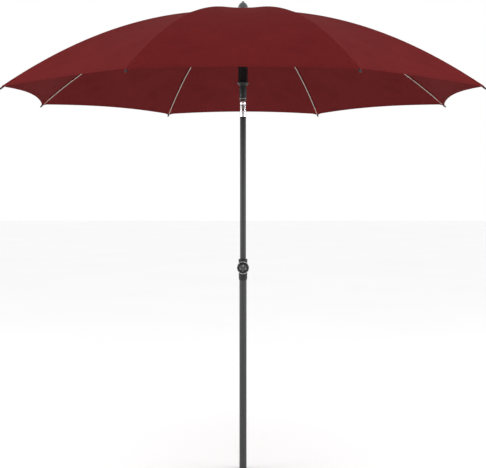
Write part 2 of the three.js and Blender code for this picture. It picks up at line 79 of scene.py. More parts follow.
def high(node: str) -> Vector:
    """The highest corner of a frame node, in millimetres."""
    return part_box(node)[1] / MM


def pivot(joint: str) -> Vector:
    """The place of a joint at rest, in millimetres."""
    found = next(j for j in frame["joints"] if j["name"] == joint)
    return Vector(found["pos_m"]) / MM


def in_rib_plane(point: Vector) -> Point2:
    """A place as (distance from the pole's axis, height)."""
    return math.hypot(point.x, point.y), point.z


class Side(Enum):
    """The two halves of the cloth beside a rib, with the way each lies round the pole."""

    LEFT = 1
    RIGHT = -1

    @property
    def word(self) -> str:
        """The half's word in node and body names."""
        return self.name.lower()


def rib_angle(number: int) -> float:
    """The compass angle of rib 1 to 8, in radians."""
    return HALF_PANEL * (2 * number - 1)


def about_pole(angle: float) -> Matrix:
    """A turn about the pole's axis."""
    return Matrix.Rotation(angle, 4, "Z")


# ---- Colours and nodes ------------------------------------------------------------------------------
def linear(colour: str) -> tuple[float, float, float, float]:
    """Turns an sRGB hex value to linear light.

    Args:
        colour: Six hex digits after a hash.

    Returns:
        Red, green, blue and an alpha of 1.
    """
    parts = [int(colour[i : i + 2], 16) / 255 for i in (1, 3, 5)]
    red, green, blue = (c / 12.92 if c <= 0.04045 else ((c + 0.055) / 1.055) ** 2.4 for c in parts)
    return red, green, blue, 1.0


def add(
    tree: bpy.types.NodeTree, kind: str, inputs: Inputs = (), output: int | str = 0, **settings: object
) -> Socket:
    """Adds one node to a material, with its settings and links.

    Args:
        tree: The material's nodes.
        kind: The node's type without its ShaderNode prefix.
        inputs: What its inputs take, in order or by name: a socket is linked, a hex colour is turned to
            linear light and anything else is set as it is.
        output: The output that is wanted.
        settings: The node's own properties.

    Returns:
        That output's socket.
    """
    node = tree.nodes.new("ShaderNode" + kind)
    for key, value in settings.items():
        setattr(node, key, value)
    for key, value in inputs.items() if isinstance(inputs, Mapping) else enumerate(inputs):
        if isinstance(value, Socket):
            tree.links.new(value, node.inputs[key])
        else:
            node.inputs[key].default_value = linear(value) if isinstance(value, str) else value
    return node.outputs[output]


def grained(
    tree: bpy.types.NodeTree, place: Socket, sizes: Sequence[float], detail: float = 2, rough: float = 0.55
) -> Socket:
    """Draws a cloudy pattern whose grains have a real size.

    Args:
        tree: The material's nodes.
        place: Where each point of the surface is, in metres.
        sizes: A grain's size along each axis, in millimetres.
        detail: How many finer layers the pattern has.
        rough: How strong those layers are.

    Returns:
        The pattern's value.
    """
    scaled = add(tree, "Mapping", {"Vector": place, "Scale": tuple(1 / (s * MM) for s in sizes)})
    return add(tree, "TexNoise", {"Vector": scaled, "Scale": 1.0, "Detail": detail, "Roughness": rough})


# ---- Finishes ---------------------------------------------------------------------------------------
@dataclass(frozen=True)
class Finish:
    """A real material and how its surface was made."""

    name: str
    colour: str
    roughness: float
    metallic: float = 0.0
    ior: float = 1.5
    coat: float = 0.0
    coat_roughness: float = 0.08
    gloss: float = 0.5

    def material(self) -> bpy.types.Material:
        """Gives the material, made the first time it is asked for.

        Returns:
            The material with its pattern.
        """
        made = bpy.data.materials.get(self.name)
        if made:
            return made
        made = bpy.data.materials.new(self.name)
        made.use_nodes = True
        shader = made.node_tree.nodes["Principled BSDF"]
        plain = {
            "Base Color": linear(self.colour),
            "Roughness": self.roughness,
            "Metallic": self.metallic,
            "IOR": self.ior,
            "Specular IOR Level": self.gloss,
            "Coat Weight": self.coat,
            "Coat Roughness": self.coat_roughness,
        }
        for name, value in plain.items():
            shader.inputs[name].default_value = value
        self.dress(made.node_tree, shader)
        return made

    def dress(self, tree: bpy.types.NodeTree, shader: bpy.types.Node) -> None:
        """Adds the surface's pattern to its nodes."""
        raise NotImplementedError

    def paint(
        self,
        tree: bpy.types.NodeTree,
        shader: bpy.types.Node,
        layers: Sequence[tuple[Socket, str]],
        height: Socket,
        depth: float,
        rough: Sequence[object] = (),
        base: str | None = None,
    ) -> None:
        """Lays colours over one another, sets the roughness and raises the surface.

        Args:
            tree: The material's nodes.
            shader: The material's shader.
            layers: How much of each further colour shows, and the colour.
            height: The pattern that raises the surface.
            depth: How deep that pattern is, in millimetres.
            rough: A pattern, its range, and the range of roughness that goes with it.
            base: The lowest colour, where it isn't the finish's own.
        """
        colour: Socket | str = base or self.colour
        for share, further in layers:
            colour = add(tree, "Mix", {0: share, 6: colour, 7: further}, 2, data_type="RGBA")
        tree.links.new(colour, shader.inputs["Base Color"])
        if rough:
            patched = add(tree, "MapRange", rough, interpolation_type="SMOOTHSTEP")
            tree.links.new(patched, shader.inputs["Roughness"])
        raised = add(tree, "Bump", {"Height": height, "Strength": 1.0, "Distance": depth * MM})
        tree.links.new(raised, shader.inputs["Normal"])


@dataclass(frozen=True)
class WovenPolyester(Finish):
    """Solution-dyed polyester, plain woven: matt, with a soft edge glow, slubs in its yarns and sewn lines."""

    thread: float = 1.4          # thread spacing; the cloth's is 0.4, too fine to show, so it is drawn coarser
    slub: Point2 = (2.2, 60)     # a thick place in a yarn: width and length, the width coarser than the real one
    cloud: float = 143           # the dye's uneven patches
    gather: float = 16.7         # puckers beside the seam
    gathered: float = 22         # how far from the seam they reach
    drawn: Point2 = (25, 111)    # soft folds where the cloth is pulled along the ribs
    light: str = "#6b1f20"
    dark: str = "#5b191a"
    fold_width: float = 14
    seam_width: float = 5
    stitch_length: float = 4
    stitch_width: float = 0.9    # sewing thread is 0.3, too fine to show, so it is drawn wider
    relief: float = 0.7
    sheen: float = 0.02
    sheen_roughness: float = 0.45
    sheen_tint: str = "#b8494b"

    def stitches(self, tree: bpy.types.NodeTree, away: Socket, at: float, along: Socket) -> Socket:
        """Sews a row of stitches.

        Args:
            tree: The material's nodes.
            away: The distance from an edge, in metres.
            at: How far from that edge the row is, in millimetres.
            along: The distance along the row, in metres.

        Returns:
            1 on the thread and 0 off it.
        """
        near = add(tree, "Math", (away, at * MM, self.stitch_width / 2 * MM), operation="COMPARE")
        count = add(tree, "Math", (along, self.stitch_length * MM), operation="DIVIDE")
        turn = add(tree, "Math", [count], operation="FRACT")
        above = add(tree, "Math", (turn, 0.75), operation="LESS_THAN")
        return add(tree, "Math", (near, above), operation="MULTIPLY")

    def dress(self, tree: bpy.types.NodeTree, shader: bpy.types.Node) -> None:
        """Weaves the cloth along its cut, and sews its seam and hem.

        Args:
            tree: The material's nodes.
            shader: The material's shader.
        """
        glow = {"Weight": self.sheen, "Roughness": self.sheen_roughness, "Tint": linear(self.sheen_tint)}
        for word, value in glow.items():
            shader.inputs["Sheen " + word].default_value = value
        cut = add(tree, "UVMap", uv_map="cut")
        across, along = (add(tree, "SeparateXYZ", [cut], axis) for axis in (0, 1))
        edges = add(tree, "UVMap", uv_map="edges")
        seam, hem = (add(tree, "SeparateXYZ", [edges], axis) for axis in (0, 1))

        waves = 0.1 * math.pi / (self.thread * MM)
        warp, weft = (
            add(tree, "TexWave", {"Vector": cut, "Scale": waves}, 1, bands_direction=axis) for axis in "XY"
        )
        half = add(tree, "Math", (warp, 0.5), operation="MULTIPLY")
        weave = add(tree, "Math", (weft, 0.5, half), operation="MULTIPLY_ADD")
        wide, long = self.slub
        slubs = [grained(tree, cut, sizes, rough=0.5) for sizes in ((wide, long, 1000), (long, wide, 1000))]
        both = add(tree, "Math", slubs, operation="ADD")
        cloud = grained(tree, cut, (self.cloud,) * 3, 3, 0.5)
        dyed = add(tree, "Math", (cloud, 0.3), operation="MULTIPLY")
        tone = add(tree, "Math", (both, 0.35, dyed), operation="MULTIPLY_ADD")

        fold = self.fold_width
        folded = (hem, (fold - 1) * MM, fold * MM, 0.35, 0)
        sewn = (seam, 0.5 * MM, self.seam_width * MM, 0.5, 0)
        near_seam = (seam, 0, self.gathered * MM, 1, 0)
        toned, folded, sewn, near_seam = (
            add(tree, "MapRange", ramp, interpolation_type="SMOOTHSTEP")
            for ramp in ((tone, 0.3, 0.7, 0, 1), folded, sewn, near_seam)
        )
        doubled = add(tree, "Math", (folded, sewn), operation="MAXIMUM")
        hem_row = self.stitches(tree, hem, fold - 2.5, across)
        seam_row = self.stitches(tree, seam, self.seam_width - 1, along)
        stitches = add(tree, "Math", (hem_row, seam_row), operation="MAXIMUM")
        shadow = add(tree, "Math", (weave, 0.12), operation="MULTIPLY")
        shine = add(tree, "Math", (stitches, 0.6), operation="MULTIPLY")

        folds = grained(tree, cut, (*self.drawn, 1000), 1, 0.5)
        gathers = grained(tree, cut, (self.gather,) * 3, 1, 0.5)
        pucker = add(tree, "Math", (gathers, near_seam), operation="MULTIPLY")
        height = add(tree, "Math", (pucker, 0.6), operation="MULTIPLY")
        for pattern, share in ((folds, 0.5), (weave, 0.06), (stitches, -0.4)):
            height = add(tree, "Math", (pattern, share, height), operation="MULTIPLY_ADD")
        layers = [(toned, self.light), (shadow, self.dark), (doubled, self.dark), (shine, self.light)]
        self.paint(tree, shader, layers, height, self.relief, base=self.dark)


@dataclass(frozen=True)
class PowderCoat(Finish):
    """Polyester powder coat baked on steel tube: satin, with a fine orange peel and faint slide marks."""

    peel: float = 0.9
    mark: Point2 = (0.8, 72)     # a slide mark's width and length
    patch: Point2 = (35, 105)    # a worn patch's width and length
    relief: float = 0.03
    rubbed: str = "#484949"

    def dress(self, tree: bpy.types.NodeTree, shader: bpy.types.Node) -> None:
        """Adds the peel, and marks drawn along the tube by the pieces that slide on it.

        Args:
            tree: The material's nodes.
            shader: The material's shader.
        """
        place = add(tree, "TexCoord", output="Object")
        (mark, mark_length), (patch, patch_length) = self.mark, self.patch
        marks = grained(tree, place, (mark, mark, mark_length), 3)
        patches = grained(tree, place, (patch, patch, patch_length))
        clear = [
            add(tree, "MapRange", ramp, interpolation_type="SMOOTHSTEP")
            for ramp in ((marks, 0.55, 0.72, 0, 0.5), (patches, 0.4, 0.6, 0, 1))
        ]
        worn = add(tree, "Math", clear, operation="MULTIPLY")
        rough = (patches, 0.3, 0.7, self.roughness - 0.05, self.roughness + 0.06)
        peel = grained(tree, place, (self.peel,) * 3)
        self.paint(tree, shader, [(worn, self.rubbed)], peel, self.relief, rough)


@dataclass(frozen=True)
class MouldedPlastic(Finish):
    """Injection-moulded nylon or polypropylene: dark, spark-eroded grain, glossier where hands rub it."""

    grain: float = 0.7
    dust: float = 9
    handled: float = 14
    relief: float = 0.03
    dusty: str = "#2c2d2d"

    def dress(self, tree: bpy.types.NodeTree, shader: bpy.types.Node) -> None:
        """Adds the grain, a little dust and handled patches.

        Args:
            tree: The material's nodes.
            shader: The material's shader.
        """
        place = add(tree, "TexCoord", output="Object")
        dust, handled, grain = (
            grained(tree, place, (size,) * 3, detail)
            for size, detail in ((self.dust, 4), (self.handled, 2), (self.grain, 2))
        )
        dusted = add(tree, "MapRange", (dust, 0.52, 0.75, 0, 0.5), interpolation_type="SMOOTHSTEP")
        rough = (handled, 0.35, 0.65, self.roughness - 0.07, self.roughness + 0.08)
        self.paint(tree, shader, [(dusted, self.dusty)], grain, self.relief, rough)


@dataclass(frozen=True)
class PlatedSteel(Finish):
    """Plated steel: bright metal whose gloss is broken by fine polishing or drawing lines and by smudges."""

    dull: str = "#8d8c88"
    smudge: float = 6
    lines: Point2 = (0.5, 15)    # a polishing line's width and length; the width is coarser than the real one
    relief: float = 0.008
    spread: float = 0.08

    def dress(self, tree: bpy.types.NodeTree, shader: bpy.types.Node) -> None:
        """Adds smudges to the gloss and fine lines to the surface.

        Args:
            tree: The material's nodes.
            shader: The material's shader.
        """
        place = add(tree, "TexCoord", output="Object")
        smudges = grained(tree, place, (self.smudge,) * 3, 4)
        duller = add(tree, "MapRange", (smudges, 0.45, 0.75, 0, 0.6), interpolation_type="SMOOTHSTEP")
        rough = (smudges, 0.35, 0.7, self.roughness, self.roughness + self.spread)
        width, length = self.lines
        lines = grained(tree, place, (width, width, length), 3)
        self.paint(tree, shader, [(duller, self.dull)], lines, self.relief, rough)


@dataclass(frozen=True)
class Lacquer(Finish):
    """Metallic lacquer under a clear coat, sprayed on plastic: fine flakes below a hard gloss."""

    flake: float = 0.5           # real flakes are 0.05, too fine to show, so they are drawn coarser
    peel: float = 2.5
    relief: float = 0.02
    bright: str = "#5a5e5f"

    def dress(self, tree: bpy.types.NodeTree, shader: bpy.types.Node) -> None:
        """Adds the flakes and a trace of orange peel.

        Args:
            tree: The material's nodes.
            shader: The material's shader.
        """
        place = add(tree, "TexCoord", output="Object")
        flakes = add(tree, "TexVoronoi", {"Vector": place, "Scale": 1 / (self.flake * MM)}, "Color")
        grey = add(tree, "SeparateXYZ", [flakes])
        lit = add(tree, "MapRange", (grey, 0.4, 1, 0, 0.6), interpolation_type="SMOOTHSTEP")
        self.paint(tree, shader, [(lit, self.bright)], grained(tree, place, (self.peel,) * 3), self.relief)


# Solution-dyed polyester cloth: a deep wine red, matt, lighter where light grazes its fibres.
CLOTH = WovenPolyester("woven_polyester_wine", "#631b1c", 0.88, gloss=0.02)
# The same cloth's inner face. Its colours are darker and greyer than the outer face's as painted shade for the
# underside, which lies out of the light.
SHADED_LINING = WovenPolyester(
    "woven_polyester_inside_shaded", "#5d1d1e", 0.9, gloss=0.02, light="#632021", dark="#541a1b", sheen=0.01
)
# Anthracite powder coat on the steel tubes: a satin dark grey.
POLE_PAINT = PowderCoat("powder_coat_anthracite", "#3b3c3c", 0.4, gloss=0.2)
# Black glass-filled nylon of the runner and crown: nearly black with light edges.
NYLON = MouldedPlastic("moulded_nylon_black", "#181a1a", 0.3, ior=1.53, gloss=0.22, dusty="#1c1d1d")
# Dark grey polypropylene of the clamp's collar, the pole's ring and the foot: greyer than the nylon.
COLLAR_PLASTIC = MouldedPlastic("moulded_polypropylene_grey", "#252625", 0.42, ior=1.49, gloss=0.22)
# Black polypropylene of the knob's grip, a little shiny from hands.
KNOB_PLASTIC = MouldedPlastic(
    "moulded_polypropylene_black", "#0c0c0c", 0.28, ior=1.49, gloss=0.25, coat=0.12, dusty="#181818"
)
# Bright chrome plate on the knuckle: a clear mirror with a few finger marks.
CHROME = PlatedSteel("chrome_plate", "#f4f5f6", 0.16, metallic=1.0, dull="#dcdddd")
# Zinc plate on the rib wire: a warm grey metal, dull to the eye.
ZINC = PlatedSteel("zinc_plate", "#b5aca2", 0.38, metallic=1.0, dull="#8a7f76", smudge=3, spread=0.18)
# Blackened steel of the stretchers and the release button: a dark metal with soft highlights.
BLACKENED = PlatedSteel("blackened_steel", "#3a3a3b", 0.36, metallic=1.0, dull="#2a2a2b", smudge=5, spread=0.14)
# Bright drawn steel of the knuckle's blade: a mid grey that shows between the chromed cheeks.
BLADE_STEEL = PlatedSteel("drawn_steel", "#8f9091", 0.3, metallic=1.0, dull="#6d6e6f", smudge=4, spread=0.12)
# Gun-metal lacquer on the finial: dark, metallic and very glossy.
GUNMETAL = Lacquer("gunmetal_lacquer", "#34383a", 0.24, metallic=0.7, coat=1.0)
# Black gloss lacquer on the knob's cap: a small hard highlight on its dome.
CAP_LACQUER = Lacquer("black_gloss_lacquer", "#0f0f10", 0.14, metallic=0.0, coat=1.0, bright="#242526")
# Silver lacquer on the runner's band and on the ring behind the knob: light grey with a metal's sparkle.
SILVER = Lacquer("silver_lacquer", "#c4c6c7", 0.3, metallic=0.75, coat=0.5, bright="#e8e9ea")


# ---- Solids -----------------------------------------------------------------------------------------
def rounded(outline: Sequence[Point2], radius: float, steps: int = 2, closed: bool = True) -> list[Point2]:
    """Rounds an outline's corners.

    Args:
        outline: The corners in order.
        radius: The rounding, cut down where an edge is too short for it.
        steps: How many pieces each arc has.
        closed: Whether the last corner joins the first; if not, both ends stay sharp.

    Returns:
        The rounded outline.
    """
    most = 0.45  # of an edge's length
    made: list[Point2] = []
    count = len(outline)
    for i, corner in enumerate(outline):
        if not closed and i in (0, count - 1):
            made.append(corner)
            continue
        here, before, after = Vector(corner), Vector(outline[i - 1]), Vector(outline[(i + 1) % count])
        back, on = before - here, after - here
        reach = min(radius, most * back.length, most * on.length)
        start, end = here + back.normalized() * reach, here + on.normalized() * reach
        for step in range(steps + 1):
            t = step / steps
            point = start * (1 - t) ** 2 + here * 2 * t * (1 - t) + end * t**2
            made.append((point.x, point.y))
    return made


def disc(radius: float, steps: int = 20) -> list[Point2]:
    """A circle as a section."""
    turns = [2 * math.pi * i / steps for i in range(steps)]
    return [(radius * math.cos(turn), radius * math.sin(turn)) for turn in turns]


def capsule(start: Point2, end: Point2, width: float, steps: int = 8) -> list[Point2]:
    """Draws a bar with round ends.

    Args:
        start: The middle of its first end.
        end: The middle of its other end.
        width: The bar's width.
        steps: How many pieces each end has.

    Returns:
        The bar's outline.
    """
    a, b = Vector(start), Vector(end)
    turn = math.atan2(b.y - a.y, b.x - a.x)
    made = []
    for centre, first in ((b, turn - math.pi / 2), (a, turn + math.pi / 2)):
        for i in range(steps + 1):
            angle = first + math.pi * i / steps
            made.append((centre.x + width / 2 * math.cos(angle), centre.y + width / 2 * math.sin(angle)))
    return made


def rivet(at: Point2, length: float, radius: float = 1.5, head: float = 2.7) -> tuple[list[Point2], Matrix]:
    """Draws a rivet across the rib's plane, with a domed head at each end.

    Args:
        at: Its place in the rib's plane.
        length: From head to head.
        radius: The shank's radius.
        head: The heads' radius.

    Returns:
        The outline to turn and where its axis lies.
    """
    end = length / 2
    half = [(0.0, end + 0.9), (head * 0.6, end + 0.75), (head, end + 0.1), (head, end - 0.3), (radius, end - 0.3)]
    outline = half + [(r, -z) for r, z in reversed(half)]
    return outline, Matrix.Translation((at[0], 0, at[1])) @ Matrix.Rotation(math.pi / 2, 4, "X")


def rib_line(first: float, last: float, steps: int, height: Callable[[float], float]) -> list[Vector]:
    """Points along the rib at +X, at a height that depends on the distance from the pole's axis."""
    places = (first + (last - first) * i / steps for i in range(steps + 1))
    return [Vector((r, 0, height(r))) for r in places]


class Shape:
    """A piece being built in millimetres, out of one or more solids."""

    def __init__(self) -> None:
        """Starts with no solids."""
        self.mesh = bmesh.new()

    def grid(
        self, rows: Sequence[Sequence[Vector]], wrap_rows: bool, wrap_columns: bool, slot: int = 0
    ) -> "Shape":
        """Joins rows of points with faces.

        Args:
            rows: Rows of equal length.
            wrap_rows: Whether the last row joins the first.
            wrap_columns: Whether each row's last point joins its first.
            slot: The faces' material slot.

        Returns:
            The shape itself.
        """
        made = [[self.mesh.verts.new(p) for p in row] for row in rows]
        width = len(rows[0])
        for i in range(len(rows) - (not wrap_rows)):
            a, b = made[i], made[(i + 1) % len(rows)]
            for j in range(width - (not wrap_columns)):
                k = (j + 1) % width
                self.mesh.faces.new((a[j], a[k], b[k], b[j])).material_index = slot
        return self

    def stacked(self, rows: Sequence[Sequence[Vector]], slot: int = 0) -> "Shape":
        """Adds a solid from rings of points, closed by its first and last ring.

        Args:
            rows: The rings, each with as many points.
            slot: The faces' material slot.

        Returns:
            The shape itself.
        """
        start, count = len(self.mesh.verts), len(rows[0])
        self.grid(rows, wrap_rows=False, wrap_columns=True, slot=slot)
        self.mesh.verts.ensure_lookup_table()
        for first in (start, start + (len(rows) - 1) * count):
            self.mesh.faces.new(self.mesh.verts[first : first + count]).material_index = slot
        return self

    def turned(
        self,
        outline: Sequence[Point2],
        place: Matrix = Matrix(),
        steps: int = 64,
        slot: int = 0,
        reach: Callable[[float, float, float], float] | None = None,
    ) -> "Shape":
        """Adds an outline turned about an axis.

        Args:
            outline: Corners as (radius, distance along the axis).
            place: Carries the axis from Z to where it belongs.
            steps: Facets of a full turn.
            slot: The faces' material slot.
            reach: Changes the radius by (angle, radius, distance along).

        Returns:
            The shape itself.
        """
        on_axis = outline[0][0] < 1e-6 and outline[-1][0] < 1e-6
        rows = []
        for i in range(steps):
            angle = 2 * math.pi * i / steps
            row = []
            for radius, along in outline:
                r = reach(angle, radius, along) if reach else radius
                row.append(place @ Vector((r * math.cos(angle), r * math.sin(angle), along)))
            rows.append(row)
        return self.grid(rows, wrap_rows=True, wrap_columns=not on_axis, slot=slot)

    def swept(self, path: Sequence[Vector], section: Sequence[Point2]) -> "Shape":
        """Adds a section carried along a path in the plane of the rib at +X.

        Args:
            path: Points along the middle.
            section: Corners as (sideways, across the path in its plane).

        Returns:
            The shape itself.
        """
        rows = []
        for i, point in enumerate(path):
            ahead = (path[min(i + 1, len(path) - 1)] - path[max(i - 1, 0)]).normalized()
            up = SIDEWAYS.cross(ahead).normalized()
            rows.append([point + SIDEWAYS * a + up * b for a, b in section])
        return self.stacked(rows)

    def plate(
        self, outline: Sequence[Point2], thickness: float, edge: float = 0.4, shift: float = 0.0
    ) -> "Shape":
        """Adds a plate in the XZ plane, with softened edges.

        Args:
            outline: Corners as (x, z).
            thickness: Its size along Y.
            edge: How far its edges are rounded.
            shift: Where its middle is along Y.

        Returns:
            The shape itself.
        """
        centre = Vector([sum(p[axis] for p in outline) / len(outline) for axis in (0, 1)])
        rows = []
        half = thickness / 2
        for y, inset in ((-half, edge), (-half + edge, 0), (half - edge, 0), (half, edge)):
            row = []
            for corner in outline:
                away = Vector(corner) - centre
                x, z = centre + away * (1 - inset / max(away.length, edge * 1.01))
                row.append(Vector((x, y + shift, z)))
            rows.append(row)
        return self.stacked(rows)

    def absorb(self, other: "Shape") -> "Shape":
        """Takes over another shape's solids.

        Args:
            other: The shape, which is used up.

        Returns:
            The shape itself.
        """
        mesh = bpy.data.meshes.new("absorbed")
        other.mesh.to_mesh(mesh)
        other.mesh.free()
        self.mesh.from_mesh(mesh)
        bpy.data.meshes.remove(mesh)
        return self

    def moved(self, place: Matrix) -> "Shape":
        """Moves everything added so far."""
        bmesh.ops.transform(self.mesh, matrix=place, verts=self.mesh.verts)
        return self

    def at_each_rib(self, make: Callable[[], "Shape"]) -> "Shape":
        """Adds a detail at each of the eight ribs.

        Args:
            make: Builds the detail at +X.

        Returns:
            The shape itself.
        """
        for number in range(1, RIBS + 1):
            self.absorb(make().moved(about_pole(rib_angle(number))))
        return self

    def cut(self, tool: "Shape") -> "Shape":
        """Cuts another shape's solids out of this one.

        Args:
            tool: The shape to cut with, which is used up.

        Returns:
            The shape itself.
        """
        body, blade = self.piece("cutting_body", []), tool.piece("cutting_blade", [])
        change = body.modifiers.new("cut", "BOOLEAN")
        change.object, change.operation, change.solver = blade, "DIFFERENCE", "EXACT"
        change.use_self = True
        solved = body.evaluated_get(bpy.context.evaluated_depsgraph_get())
        mesh = bpy.data.meshes.new_from_object(solved)
        self.mesh = bmesh.new()
        self.mesh.from_mesh(mesh)
        bmesh.ops.scale(self.mesh, vec=(1 / MM,) * 3, verts=self.mesh.verts)
        for used in (body, blade):
            bpy.data.objects.remove(used)
        return self

    def piece(self, name: str, finishes: Sequence[Finish], crisp: float = 32) -> bpy.types.Object:
        """Closes the shape and puts it in the scene.

        Args:
            name: The piece's name.
            finishes: One finish for each material slot.
            crisp: Edges that turn by more degrees than this stay sharp.

        Returns:
            The new object, in metres.
        """
        mesh = bpy.data.meshes.new(name)
        bmesh.ops.remove_doubles(self.mesh, verts=self.mesh.verts, dist=1e-4)
        bmesh.ops.dissolve_degenerate(self.mesh, edges=self.mesh.edges, dist=1e-5)
        bmesh.ops.recalc_face_normals(self.mesh, faces=self.mesh.faces)
        for face in self.mesh.faces:
            face.smooth = True
        for edge in self.mesh.edges:
            edge.smooth = len(edge.link_faces) == 2 and edge.calc_face_angle() < math.radians(crisp)
        bmesh.ops.scale(self.mesh, vec=(MM,) * 3, verts=self.mesh.verts)
        self.mesh.to_mesh(mesh)
        self.mesh.free()
        for finish in finishes:
            mesh.materials.append(finish.material())
        return place_piece(name, mesh)


def place_piece(name: str, mesh: bpy.types.Mesh, turn: float = 0.0) -> bpy.types.Object:
    """Puts a mesh in the scene, turned about the pole.

    Args:
        name: The piece's name.
        mesh: Its mesh, which several pieces may share.
        turn: How far it is turned, in radians.

    Returns:
        The new object.
    """
    made = bpy.data.objects.new(name, mesh)
    made.matrix_world = about_pole(turn)
    bpy.context.scene.collection.objects.link(made)
    return made


def mount(piece: bpy.types.Object, body: str, slot: str, *nodes: str) -> bpy.types.Object:
    """Fixes a piece to a body of the frame.

    Args:
        piece: The piece, in place.
        body: The body that carries it.
        slot: The record's material slot, which is not used.
        nodes: The frame nodes it stands for.

    Returns:
        The piece.
    """
    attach(piece, body)
    if nodes:
        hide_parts(*nodes)
    log.info("%s rides on %s (%d faces)", piece.name, body, len(piece.data.polygons))
    return piece


def map_cloth(mesh: bpy.types.Mesh, cut: Sequence[Point2] = (), edges: Sequence[Point2] = ()) -> None:
    """Writes a cloth mesh's two maps, in metres.

    Args:
        mesh: The cloth.
        cut: Each point's place in the flat cut; without it, the cloth is unrolled across the rib at +X.
        edges: Each point's distance to the seam and to the hem; without it, both are far away.
    """
    cut = cut or [(v.co.x + v.co.z, v.co.y) for v in mesh.vertices]
    edges = edges or [(1.0, 1.0)] * len(mesh.vertices)
    for name, places in (("cut", cut), ("edges", edges)):
        layer = mesh.uv_layers.new(name=name)
        for loop in mesh.loops:
            layer.data[loop.index].uv = places[loop.vertex_index]


